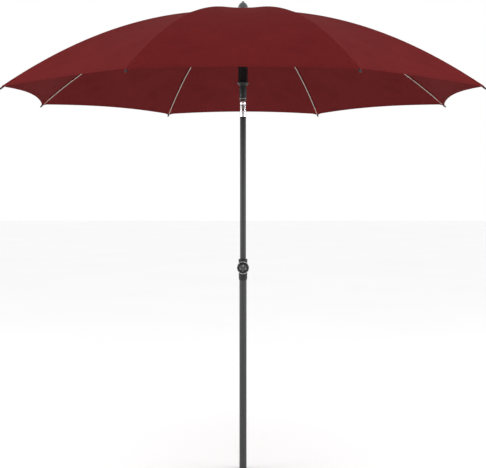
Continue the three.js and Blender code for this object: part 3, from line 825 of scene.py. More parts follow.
# ---- Canopy -----------------------------------------------------------------------------------------
@dataclass
class Canopy:
    """The cloth: sixteen half-gores sewn along the ribs, its seams, corner pockets, ties and apex patch."""

    radius: float = 1000
    rise: float = 355
    power: float = 2.05
    hem_bow: float = 35.6        # how far the hem is drawn in between two ribs
    hem_sag: float = 16          # how far it hangs below the line between them
    sag_power: float = 0.75
    thickness: float = 0.9
    fold_thickness: float = 0.8
    fold_inner: float = 13.9     # how far the hem's fold reaches on the inside
    hem_curl: float = 1.2        # how far from the hem's edge the cloth rounds over
    start: float = 27            # where the panels begin, below the patch
    seam_width: float = 8.4
    turn_in: float = 280
    # Where the mesh has points: rows before the hem, shares of the way to the rib, then distances from the
    # seam and from the hem.
    along: int = 46
    sides: tuple[float, ...] = (
        0.0, 0.02, 0.08, 0.16, 0.25, 0.34, 0.43, 0.52, 0.61, 0.69, 0.76, 0.82, 0.87, 0.91, 0.94
    )
    from_seam: tuple[float, ...] = (9.0, 4.5, 2.0, 0.8, 0.0)
    from_hem: tuple[float, ...] = (18.0, 14.4, 13.6, 12.4, 11.4, 7.0, 3.0, 1.2, 0.4, 0.0)
    patch_radius: float = 34
    patch_hole: float = 5
    tied_at: tuple[float, ...] = (360, 640, 830)
    top: float = field(default_factory=lambda: high("apex_patch").z)

    def arch(self, r: float) -> float:
        """The height of a rib line of the cloth, r from the pole's axis."""
        return self.top - self.rise * (r / self.radius) ** self.power

    def spot(self, r: float, side: float, lift: float = 0.0) -> Vector:
        """The point of the +X panel at r along the rib line, with side 0 in its middle and 1 at the rib."""
        dip = self.hem_sag * (r / self.radius) ** self.sag_power * (1 - side * side)
        return Vector((r * math.cos(HALF_PANEL), r * math.sin(HALF_PANEL) * side, self.arch(r) - dip + lift))

    def hem(self, side: float) -> float:
        """The hem's distance from the pole's axis, along the rib line's scale."""
        return self.radius - self.hem_bow * (1 - side * side)

    def slope(self, r: float) -> float:
        """How steeply a rib line of the cloth falls, r from the pole's axis."""
        return self.rise * self.power / self.radius * (r / self.radius) ** (self.power - 1)

    def seam_length(self, r: float, steps: int = 32) -> float:
        """The length of a rib line of the cloth, from the pole's axis out to r."""
        step = r / steps
        return sum(math.hypot(1, self.slope((i + 0.5) * step)) for i in range(steps)) * step

    def cut_area(self, steps: int = 64) -> float:
        """Works out the area that a half-gore is cut with, from strips across it.

        Args:
            steps: How many strips.

        Returns:
            The area in square millimetres.
        """
        step = (self.radius - self.hem_bow * 2 / 3 - self.start) / steps
        middles = [self.start + (i + 0.5) * step for i in range(steps)]
        strips = (r * math.sin(HALF_PANEL) * math.hypot(math.cos(HALF_PANEL), self.slope(r)) for r in middles)
        return sum(strips) * step

    def places(self) -> list[list[Point2]]:
        """Lays out the points of a half-gore, closer together beside its seam and hem.

        Returns:
            Rows from the apex to the hem, of points as (distance from the axis, share of the way to the rib).
        """
        rows = []
        for i in range(self.along + len(self.from_hem)):
            row = []
            for side in (*self.sides, *(1.0,) * len(self.from_seam)):
                if i < self.along:
                    r = self.start + (self.hem(side) - self.from_hem[0] - self.start) * (i / self.along)
                else:
                    r = self.hem(side) - self.from_hem[i - self.along]
                row.append((r, side))
            for j, reach in enumerate(self.from_seam, len(self.sides)):
                r = row[j][0]
                width = r * math.sin(HALF_PANEL)
                row[j] = (r, 1 - min(reach, 0.05 * width * reach / self.from_seam[0]) / width)
            rows.append(row)
        return rows

    def relief(self, to_seam: float, to_hem: float) -> float:
        """Gives the small relief of the outer face.

        Args:
            to_seam: The distance to the seam.
            to_hem: The distance to the hem.

        Returns:
            The height: pulled down at the seam and by the hem's stitches, raised over the hem's fold.
        """
        seam = -0.5 * math.exp(-((to_seam / 2.2) ** 2))
        edge = -0.45 * max(0.0, 1 - to_hem / self.hem_curl) ** 2
        fold = 0.25 * math.exp(-(((to_hem - 7) / 5) ** 2))
        return seam + edge + fold - 0.3 * math.exp(-((to_hem - 11.4) ** 2))

    def half_gore(self) -> bpy.types.Mesh:
        """Builds the half of the +X panel on its +Y side.

        Returns:
            Its mesh: an outer and an inner face, joined round the rim.
        """
        places = self.places()
        outer, inner, cut, edges = [], [], [], []
        for r, side in (place for row in places for place in row):
            width = r * math.sin(HALF_PANEL)
            to_hem, to_seam = self.hem(side) - r, width * (1 - side)
            lift = self.relief(to_seam, to_hem)
            fold = self.fold_thickness if to_hem < self.fold_inner else 0.0
            under = 0.35 * max(0.0, 1 - to_hem / self.hem_curl) ** 2 - self.thickness - fold
            outer.append(self.spot(r, side, lift) * MM)
            inner.append(self.spot(r, side, min(under, lift - 0.3)) * MM)
            cut.append((width * side * MM, self.seam_length(r) * MM))
            edges.append((to_seam * MM, to_hem * MM))
        rows, columns, layer = len(places), len(places[0]), len(outer)
        faces, slots = [], []
        for i in range(rows - 1):
            for a in range(i * columns, (i + 1) * columns - 1):
                b = a + layer
                faces += [(a, a + columns, a + columns + 1, a + 1), (b, b + 1, b + columns + 1, b + columns)]
                slots += [0, 1]
        hem = list(range((rows - 1) * columns, layer))
        rims = [
            list(range(0, layer, columns)),
            hem,
            list(range(layer - 1, 0, -columns)),
            list(range(columns - 1, -1, -1)),
        ]
        sharp = set()
        for rim in rims:
            for a, b in zip(rim, rim[1:]):
                faces.append((a, a + layer, b + layer, b))
                slots.append(0)
                sharp.add(frozenset((a + layer, b + layer)))
                if rim is not hem:
                    sharp.add(frozenset((a, b)))
        mesh = bpy.data.meshes.new("half_gore")
        mesh.from_pydata(outer + inner, [], faces)
        for polygon, slot in zip(mesh.polygons, slots):
            polygon.material_index = slot
            polygon.use_smooth = True
        for edge in mesh.edges:
            edge.use_edge_sharp = frozenset(edge.vertices) in sharp
        map_cloth(mesh, cut * 2, edges * 2)
        # The inner faces take the lining, whose darker colours are painted shade.
        for finish in (CLOTH, SHADED_LINING):
            mesh.materials.append(finish.material())
        return mesh

    def seam(self) -> Shape:
        """Builds the seam allowance under the cloth: both panels' edges, sewn flat above the rib at +X.

        Returns:
            The seam.
        """
        half, first, last = self.seam_width / 2, 52, self.radius - 22
        path = rib_line(first, last, 44, lambda r: self.arch(r) - self.thickness - 1.95)
        return Shape().swept(path, rounded([(-half, -0.9), (half, -0.9), (half, 1.0), (-half, 1.0)], 0.6))

    def pocket(self) -> Shape:
        """Builds the corner pocket: a small doubled patch of cloth folded round the end of the rib at +X.

        Returns:
            The pocket.
        """
        rows = []
        steps = 10
        for i in range(steps + 1):
            share = i / steps
            r = self.radius - 46 + 45 * share
            wide = 13 * (1 - share) ** 0.7 + 5
            half = (6.5 + 1.6 * math.sin(math.pi * share)) / 2
            middle = self.arch(r) - 1.2 - half
            rows.append([Vector((r, wide * a, middle + half * b)) for a, b in disc(1, 16)])
        return Shape().stacked(rows)

    def ties(self) -> Shape:
        """Builds three cloth loops that tie the seam to the rib at +X.

        Returns:
            The loops.
        """
        shape = Shape()
        band = ((-5.0, 0.0), (-4.6, 0.5), (4.6, 0.5), (5.0, 0.0), (4.6, -0.4), (-4.6, -0.4))
        for place in self.tied_at:
            rows = []
            for a, b in disc(1, 24):
                row = []
                for along, out in band:
                    r = place + along
                    row.append(Vector((r, (4.2 + out) * a, self.arch(r) - 5.0 + (3.6 + out) * b)))
                rows.append(row)
            shape.grid(rows, wrap_rows=True, wrap_columns=True)
        return shape

    def patch(self) -> Shape:
        """Builds the round apex patch that is sewn over the panels' points.

        Returns:
            The patch.
        """
        hole, rim, steps = self.patch_hole, self.patch_radius, 8
        outline = [(hole, self.top + 0.2), (hole, self.top + 1.1)]
        for i in range(1, steps + 1):
            r = hole + (rim - hole) * i / steps
            outline.append((r, self.arch(r) + (0.6 if i == steps else 1.1)))
        outline += [(rim + 0.3, self.arch(rim) + 0.2), (rim, self.arch(rim) - 0.2)]
        return Shape().turned(outline)

    def mount_half(
        self, mesh: bpy.types.Mesh, number: int, side: Side
    ) -> None:
        """Makes one half-gore in place beside a rib, and hides its frame node.

        Args:
            mesh: The half-gore at +X.
            number: The rib's number.
            side: Which half it is.
        """
        rib, node, angle = f"rib_{number}", f"gore_{number}_{side.word}", rib_angle(number)
        copied = mesh.copy()
        if side is Side.LEFT:
            copied.transform(Matrix.Scale(-1, 4, SIDEWAYS))
            copied.flip_normals()
        made = place_piece(f"cloth_{number}_{side.word}", copied, angle + side.value * HALF_PANEL)
        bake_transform(made)
        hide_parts(node)
        length = self.seam_length(self.radius) - self.seam_length(self.start)
        area = self.cut_area() * MM**2

    def build(self) -> None:
        """Makes and dresses all the cloth, and mounts its seams, pockets, ties and apex patch."""
        mesh = self.half_gore()
        first = {
            "seam": self.seam().piece("seam_1", [SHADED_LINING]),
            "pocket": self.pocket().piece("pocket_1", [CLOTH]),
            "ties": self.ties().piece("ties_1", [SHADED_LINING]),
        }
        for made in first.values():
            map_cloth(made.data)
        for number in range(1, RIBS + 1):
            sewn_on = [
                mount(
                    place_piece(f"{word}_{number}_cloth", source.data, rib_angle(number)),
                    f"rib_{number}",
                    "canopy_cloth",
                )
                for word, source in first.items()
            ]
            self.mount_half(mesh, number, Side.LEFT)
            self.mount_half(mesh, number, Side.RIGHT)
            log.info("panel halves beside rib %d made", number)
        for source in first.values():
            bpy.data.objects.remove(source)
        patch = self.patch().piece("apex_patch_cloth", [CLOTH])
        spots = [(v.co.x, v.co.y) for v in patch.data.vertices]
        to_rim = [(1.0, max(0.0, self.patch_radius * MM - math.hypot(*spot))) for spot in spots]
        map_cloth(patch.data, spots, to_rim)
        mount(patch, "stick", "canopy_cloth", "apex_patch")


# ---- Ribs and stretchers ----------------------------------------------------------------------------
@dataclass
class Linkage:
    """A bent wire rib with its eye, clip and tip, and the pressed channel stretcher that pushes it up."""

    canopy: Canopy
    wire: float = 5
    below_cloth: float = 7
    below_hinge: float = 13
    ramp: float = 110            # how far from its hinge the rib takes to come up under the cloth
    overhang: float = 10
    tip_back: float = 4.4
    clip_at: float = 420
    clip_drop: float = 9.5
    clip_width: float = 6
    inside: float = 6.6          # between the stretcher's cheeks
    wall: float = 1.4
    depth: float = 8
    lug_width: float = 9
    hinge: Point2 = field(default_factory=lambda: in_rib_plane(pivot("rib_1_fold")))
    heel: Point2 = field(default_factory=lambda: in_rib_plane(pivot("stretcher_1_fold")))

    def height(self, r: float) -> float:
        """The middle of the rib's wire, r from the pole's axis."""
        ramp = max(0.0, 1 - (r - self.hinge[0]) / self.ramp)
        return self.canopy.arch(r) - self.below_cloth - (self.below_hinge - self.below_cloth) * ramp**2

    def clip(self) -> Point2:
        """Where the stretcher is riveted under the rib."""
        return self.clip_at, self.height(self.clip_at) - self.clip_drop

    def across(self) -> float:
        """The stretcher's outer width."""
        return self.inside + 2 * self.wall

    def rib(self) -> Shape:
        """Builds the rib at +X: wire, flattened eye, saddle clip and rivet.

        Returns:
            The rib.
        """
        path = rib_line(self.hinge[0] + 3, self.canopy.radius + self.overhang - 8, 60, self.height)
        shape = Shape().swept(path, disc(self.wire / 2))
        eye_end = self.hinge[0] + 13
        shape.plate(capsule(self.hinge, (eye_end, self.height(eye_end)), self.lug_width), 4, edge=0.7)
        at = self.clip()
        shape.plate(capsule((at[0], self.height(at[0]) + 0.2), at, 8.6), self.clip_width, edge=0.8)
        return shape.turned(*rivet(at, self.across() + 0.5), steps=20)

    def tip(self) -> Shape:
        """Builds the moulded cap on the rib's end: a ribbed barrel with a ball end.

        Returns:
            The cap.
        """
        end = self.canopy.radius + self.overhang - self.tip_back
        at, before = (Vector((r, 0, self.height(r))) for r in (end, end - 10))
        place = Matrix.Translation(at) @ (at - before).to_track_quat("Z", "Y").to_matrix().to_4x4()
        outline = [(0, -20), (2.9, -20), (3.3, -19.2), (3.3, -16), (3.0, -15.4), (3.3, -14.8), (3.5, -7)]
        outline += [(4.0, -5.8), (4.0, -4.8), (3.1, -4.2), (3.1, -3.2)]
        outline += [(3.6 * math.sin(a), 0.8 - 3.6 * math.cos(a)) for a in (1.1, 1.4, 1.8, 2.2, 2.5, 2.8)]
        return Shape().turned(outline + [(0, 4.4)], place, steps=28)

    def stretcher(self) -> Shape:
        """Builds the stretcher at +X, from the runner's lug to the rib's clip: a pressed channel.

        Returns:
            The stretcher.
        """
        start, end = Vector(self.heel), Vector(self.clip())
        length = (end - start).length
        outer, inner = self.across() / 2, self.inside / 2
        low_edge, top = -self.depth / 2, self.depth / 2
        shape = Shape()
        for hand in (1, -1):
            cheek = capsule((0, 0), (length, 0), self.depth)
            shape.plate(cheek, self.wall - 0.06, edge=0.35, shift=hand * (outer - self.wall / 2))
        trough = [(-outer, top - 0.5), (-outer, low_edge), (outer, low_edge), (outer, top - 0.5)]
        trough += [(inner, top - 0.5), (inner, low_edge + self.wall)]
        trough += [(-inner, low_edge + self.wall), (-inner, top - 0.5)]
        path = [Vector((x, 0, 0)) for x in (12, 40, length / 2, length - 150, length - 112)]
        shape.swept(path, rounded(trough, 0.9, 3))
        tilt = math.atan2(end.y - start.y, end.x - start.x)
        return shape.moved(Matrix.Translation((start.x, 0, start.y)) @ Matrix.Rotation(-tilt, 4, "Y"))

    def build(self) -> None:
        """Makes and mounts the eight ribs, tips and stretchers."""
        rib = self.rib().piece("first_rib", [ZINC])
        tip = self.tip().piece("first_tip", [NYLON])
        channel = self.stretcher().piece("first_stretcher", [BLACKENED])
        for number in range(1, RIBS + 1):
            turn, bar, pusher = rib_angle(number), f"rib_{number}", f"stretcher_{number}"
            mount(place_piece(bar + "_wire", rib.data, turn), bar, "zinc_steel", bar)
            mount(place_piece(bar + "_tip", tip.data, turn), bar, "black_plastic")
            mount(place_piece(pusher + "_channel", channel.data, turn), pusher, "dark_steel", pusher)
        for source in (rib, tip, channel):
            bpy.data.objects.remove(source)


# ---- Runner, crown and finial -----------------------------------------------------------------------
@dataclass
class Head:
    """What gathers the linkage: the crown on top of the stick, the finial over it and the runner below."""

    linkage: Linkage
    bore: float = 13.4
    neck: float = 15
    grooves: int = 4
    body: float = 20
    flange: float = 24
    window: Point2 = (9, 26)
    crown_radius: float = 28
    eye_slot: float = 5.8
    finial_radius: float = 22.5
    flutes: int = 16
    flute_depth: float = 1.1
    crown_base: float = field(default_factory=lambda: low("crown").z + 26)
    crown_top: float = field(default_factory=lambda: high("crown").z - 22)
    runner_base: float = field(default_factory=lambda: low("runner").z)
    runner_top: float = field(default_factory=lambda: high("runner").z)

    def lug(self) -> Shape:
        """Builds one forked lug of the runner at +X, with its rivet.

        Returns:
            The lug.
        """
        heel, width = self.linkage.heel, self.linkage.lug_width
        shape = Shape().plate(capsule((self.body - 3, heel[1]), heel, width), 6, edge=0.7)
        return shape.turned(*rivet(heel, self.linkage.across() + 0.4), steps=18, slot=1)

    def runner(self) -> Shape:
        """Builds the sliding runner: grip neck, flange, body with a window, ring and eight lugs.

        Returns:
            The runner.
        """
        base, top, neck, body, flange = self.runner_base, self.runner_top, self.neck, self.body, self.flange
        outline = [(self.bore, base), (neck - 1, base), (neck, base + 1), (neck, base + 5)]
        outline += [(neck - 0.7, base + 5.4), (neck - 0.7, base + 7.2), (neck, base + 7.6)]
        for i in range(self.grooves):
            z = base + 44 + 4.2 * i
            outline += [(neck, z), (neck + 0.5, z + 1), (neck + 0.5, z + 2.4), (neck, z + 3.4)]
        outline += [(neck, base + 62), (flange - 1.2, base + 72), (flange, base + 73.4), (flange, base + 76)]
        outline += [(flange - 1, base + 77), (body, base + 77.2)]
        ring = self.linkage.heel[1] - 12
        outline += [(body, ring), (body + 2, ring + 3), (body + 2, ring + 6), (body, ring + 6.4)]
        outline += [(body, top - 1.2), (body - 1.2, top), (self.bore, top)]
        half, tall = self.window[0] / 2, self.window[1]
        sill = base + 102
        opening = rounded([(-half, sill), (half, sill), (half, sill + tall), (-half, sill + tall)], 1.5, 3)
        shape = Shape().turned(rounded(outline, 0.5), steps=72)
        return shape.cut(Shape().plate(opening, 20, edge=0.05, shift=21)).at_each_rib(self.lug)

    def band(self) -> Shape:
        """The bright ring let into the runner's neck."""
        z, inner, outer = self.runner_base + 5.5, self.neck - 1, self.neck - 0.15
        return Shape().turned(rounded([(inner, z), (outer, z), (outer, z + 1.6), (inner, z + 1.6)], 0.2))

    def crown(self) -> Shape:
        """Builds the crown: a moulded hub with slots for the ribs' eyes, its pins and the threaded stud.

        Returns:
            The crown.
        """
        base, top, r = self.crown_base, self.crown_top, self.crown_radius
        outline = [(0, base), (14.5, base), (16, base + 1.5), (r - 4, base + 0.4), (r, base + 4), (r, top - 3)]
        outline += [(r - 3, top), (12, top), (11, top - 1), (0, top - 1)]
        mouth = [(14.0, base - 2), (r + 4, base - 2), (r + 4, top + 2), (14.0, top + 2)]
        slots = Shape().at_each_rib(lambda: Shape().plate(mouth, self.eye_slot, edge=0.02))
        shape = Shape().turned(rounded(outline, 0.8, closed=False), steps=72).cut(slots)
        shape.at_each_rib(lambda: Shape().turned(*rivet(self.linkage.hinge, 7.0, head=2.0), steps=16, slot=1))
        pitch, turns, crest, root = 1.25, 16, 4, 3.5
        thread = [(0, top - 2), (crest, top - 2)]
        for i in range(turns):
            thread += [(crest, top + i * pitch), (root, top + i * pitch + 0.6)]
        thread += [(3.4, top + 21.4), (0, top + 21.9)]
        return shape.absorb(Shape().turned(thread, steps=24, slot=1))

    def finial(self) -> Shape:
        """Builds the finial: a glossy dome with a small nub, on a skirt with rounded flutes.

        Returns:
            The finial.
        """
        base, out = low("finial").z, self.finial_radius
        outline = [(0, base), (out - 1.6, base), (out - 0.3, base + 0.8), (out, base + 2), (out, base + 11.6)]
        outline += [(out - 0.5, base + 12.8), (out - 1.5, base + 13.4), (out - 1.2, base + 14.4)]
        for i in range(1, 15):
            turn = i / 15 * math.pi * 0.47
            outline.append(((out - 1.2) * math.cos(turn), base + 13.4 + 26.6 * math.sin(turn)))
        outline += [(5.4, base + 39.7), (5.0, base + 40.4), (5.0, base + 42.2), (4.2, base + 43), (0, base + 43)]

        def fluted(angle: float, radius: float, along: float) -> float:
            """Draws the skirt in along its flutes.

            Args:
                angle: The angle round the finial.
                radius: The radius without flutes.
                along: The height.

            Returns:
                The radius with flutes.
            """
            rising, ending = (along - base - 0.5) / 1.5, (base + 13.2 - along) / 1.4
            share = max(0.0, min(1.0, rising)) * max(0.0, min(1.0, ending))
            if radius < out - 2 or along > base + 13.3:
                return radius
            return radius - self.flute_depth * share * (0.5 - 0.5 * math.cos(angle * self.flutes)) ** 1.5

        return Shape().turned(outline, steps=160, reach=fluted)

    def build(self) -> None:
        """Makes and mounts the runner, crown and finial."""
        mount(self.runner().piece("runner_body", [NYLON, ZINC]), "runner", "black_plastic", "runner")
        mount(self.band().piece("runner_band", [SILVER]), "runner", "silver_plastic")
        mount(self.crown().piece("crown_hub", [NYLON, ZINC]), "stick", "black_plastic", "crown")
        mount(self.finial().piece("finial_dome", [GUNMETAL], crisp=40), "stick", "finial_lacquer", "finial")


# ---- Tubes, knuckle and clamp -----------------------------------------------------------------------
@dataclass
class Tubes:
    """The stick and the two pole tubes, rolled and welded from steel strip, with their caps and rings."""

    wall: float = 1.3
    drain: float = 3
    pad_clearance: float = 4.1
    slot_width: float = 9

    def tube(self, node: str) -> Shape:
        """Builds a smooth tube that takes its length and diameter from the frame.

        Args:
            node: The frame node.

        Returns:
            The tube.
        """
        bottom, top, outer = low(node).z, high(node).z, high(node).x
        inner = outer - self.wall
        outline = [(inner, bottom), (outer, bottom), (outer, top), (inner, top)]
        return Shape().turned(rounded(outline, 0.5, 3), steps=72)

    def ring(self) -> Shape:
        """Builds the collar that closes the upper pole below the knuckle.

        Returns:
            The collar.
        """
        bottom, top, r = low("pole_top_ring").z, high("pole_top_ring").z, high("pole_top_ring").x
        outline = [(r - 2.2, bottom), (r - 0.4, bottom), (r, bottom + 1), (r, top - 1), (r - 0.5, top)]
        return Shape().turned(rounded(outline + [(r - 2.2, top)], 0.4))

    def foot(self) -> Shape:
        """Builds the plug in the pole's foot, with a rounded flange and a drain hole.

        Returns:
            The plug.
        """
        top, r, drain = high("foot_cap").z, high("foot_cap").x, self.drain
        outline = [(drain, 0), (r - 1.5, 0), (r - 0.3, 0.7), (r, 1.6), (r, 2.6), (r - 1.6, 2.7)]
        outline += [(r - 1.6, top - 1), (r - 2.4, top), (drain, top)]
        return Shape().turned(rounded(outline, 0.3))

    def pad_hole(self) -> Shape:
        """Builds what the clamp's pad and screw need cut out of the lower tube.

        Returns:
            The hole's solid.
        """
        place = Matrix.Translation((0, 0, pivot("clamp_knob_turn").z)) @ Matrix.Rotation(math.pi / 2, 4, "X")
        r = self.pad_clearance
        return Shape().turned([(0, 6), (r, 6), (r, 22), (0, 22)], place, steps=32)

    def stick(self) -> Shape:
        """Builds the canopy's stick, with the catch's slot behind.

        Returns:
            The stick.
        """
        half, bottom, top = self.slot_width / 2, low("runner_catch").z + 14, low("runner_catch").z + 40
        slot = rounded([(-half, bottom), (half, bottom), (half, top), (-half, top)], 2, 3)
        return self.tube("canopy_stick").cut(Shape().plate(slot, 12, edge=0.05, shift=11.5))

    def build(self) -> None:
        """Makes and mounts the tubes."""
        lower = self.tube("lower_pole").cut(self.pad_hole())
        mount(lower.piece("lower_tube", [POLE_PAINT]), "lower_pole", "pole_paint", "lower_pole")
        mount(self.foot().piece("foot_plug", [COLLAR_PLASTIC]), "lower_pole", "black_plastic", "foot_cap")
        mount(self.tube("upper_pole").piece("upper_tube", [POLE_PAINT]), "upper_pole", "pole_paint", "upper_pole")
        mount(self.ring().piece("top_ring", [COLLAR_PLASTIC]), "upper_pole", "black_plastic", "pole_top_ring")
        mount(self.stick().piece("stick_tube", [POLE_PAINT]), "stick", "pole_paint", "canopy_stick")


@dataclass
class Knuckle:
    """The tilt knuckle: a chromed fork, and a tongue that turns in it on a pin, with a release button."""

    radius: float = 13
    slot: float = 7.2
    blade: float = 6.4
    blade_radius: float = 10.5
    button_seat: float = 4.9
    head_seat: float = 4.8
    parting: float = 1.1         # half the width of the groove down the fork's middle
    shoulder: float = 1.6        # between the fork's top and the tongue's head
    height: float = field(default_factory=lambda: pivot("canopy_tilt").z)
    base: float = field(default_factory=lambda: high("pole_top_ring").z + 0.3)
    top: float = field(default_factory=lambda: low("canopy_stick").z - 0.3)

    def across(self) -> Matrix:
        """Carries an axis to the knuckle's pivot."""
        return Matrix.Translation((0, 0, self.height)) @ Matrix.Rotation(math.pi / 2, 4, "Y")

    def fork(self) -> Shape:
        """Builds the fork: a round bar slotted for the tongue, its cheeks rounded over the pivot.

        Returns:
            The fork.
        """
        r, at, base = self.radius, self.height, self.base
        bar = [(0, base), (r - 0.8, base), (r, base + 0.8), (r, at + r), (0, at + r)]
        around = Shape().turned([(r - 0.2, -40), (60, -40), (60, 40), (r - 0.2, 40)], self.across(), steps=72)
        clear = Shape().plate([(-60, -200), (60, -200), (60, 0), (-60, 0)], 200, edge=0.01)
        clear.moved(Matrix.Translation((0, 0, at)))
        shape = Shape().turned(bar, steps=72).cut(around.cut(clear))
        half = self.slot / 2
        opening = [(-half, at - 12.2), (half, at - 12.2), (half + 0.4, at + 2), (half + 2.6, at + r + 2)]
        opening += [(-half - 2.6, at + r + 2), (-half - 0.4, at + 2)]
        shape.cut(Shape().plate(opening, 60, edge=0.01))
        button, head = self.button_seat, self.head_seat
        seats = Shape().turned([(0, 6), (button, 6), (button, 20), (0, 20)], self.across(), steps=32)
        seats.turned([(0, -20), (head, -20), (head, -9.8), (0, -9.8)], self.across(), steps=32)
        shape.cut(seats)
        gap = self.parting
        groove = [(-gap, base - 1), (gap, base - 1), (gap, at - 12), (-gap, at - 12)]
        lines = Shape()
        for shift in (-r - 0.6, r + 0.6):
            lines.plate(groove, 6, edge=0.01, shift=shift)
        return shape.cut(lines)

    def socket(self) -> Shape:
        """Builds the tongue's round head, which plugs into the stick.

        Returns:
            The head.
        """
        r, top, bottom = self.radius, self.top, self.height + self.radius + self.shoulder
        outline = [(0, bottom), (r - 1.6, bottom), (r, bottom + 1.6), (r, top - 1), (r - 0.8, top), (0, top)]
        return Shape().turned(rounded(outline, 0.4, closed=False), steps=72)

    def tongue(self) -> Shape:
        """Builds the blade that turns between the fork's cheeks.

        Returns:
            The blade.
        """
        r, top = self.blade_radius, self.height + self.radius + self.shoulder + 1
        turns = [math.pi + math.pi * i / 18 for i in range(19)]
        outline = [(r * math.cos(a), self.height + r * math.sin(a)) for a in turns] + [(r, top), (-r, top)]
        return Shape().plate(outline, self.blade, edge=0.5).moved(about_pole(math.pi / 2))

    def pin(self) -> Shape:
        """Builds the pivot pin with its domed head.

        Returns:
            The pin.
        """
        out = -high("tilt_button").x
        head = [(0, out), (2.6, out + 0.05), (4.1, out + 0.5), (4.5, out + 1.1), (4.5, out + 2), (3, out + 2)]
        return Shape().turned(head + [(3, 6), (0, 6)], self.across(), steps=40)

    def button(self) -> Shape:
        """Builds the release button, dished for a thumb.

        Returns:
            The button.
        """
        out = high("tilt_button").x
        outline = [(0, out - 3.2), (4.1, out - 3.2), (4.5, out - 2.8), (4.5, out - 0.5), (4.1, out), (3.2, out)]
        outline += [(2.6, out - 0.4), (1.4, out - 0.65), (0, out - 0.7)]
        return Shape().turned(outline, self.across(), steps=40)

    def build(self) -> None:
        """Makes and mounts the knuckle's pieces."""
        mount(self.fork().piece("fork_chrome", [CHROME]), "upper_pole", "knuckle_chrome", "knuckle_fork")
        mount(self.socket().piece("tongue_socket", [CHROME]), "stick", "knuckle_chrome", "knuckle_tongue")
        mount(self.tongue().piece("tongue_blade", [BLADE_STEEL]), "stick", "dark_steel")
        mount(self.pin().piece("pivot_pin", [ZINC]), "upper_pole", "dark_steel", "knuckle_pin")
        mount(self.button().piece("release_button", [BLACKENED]), "tilt_button", "dark_steel", "tilt_button")


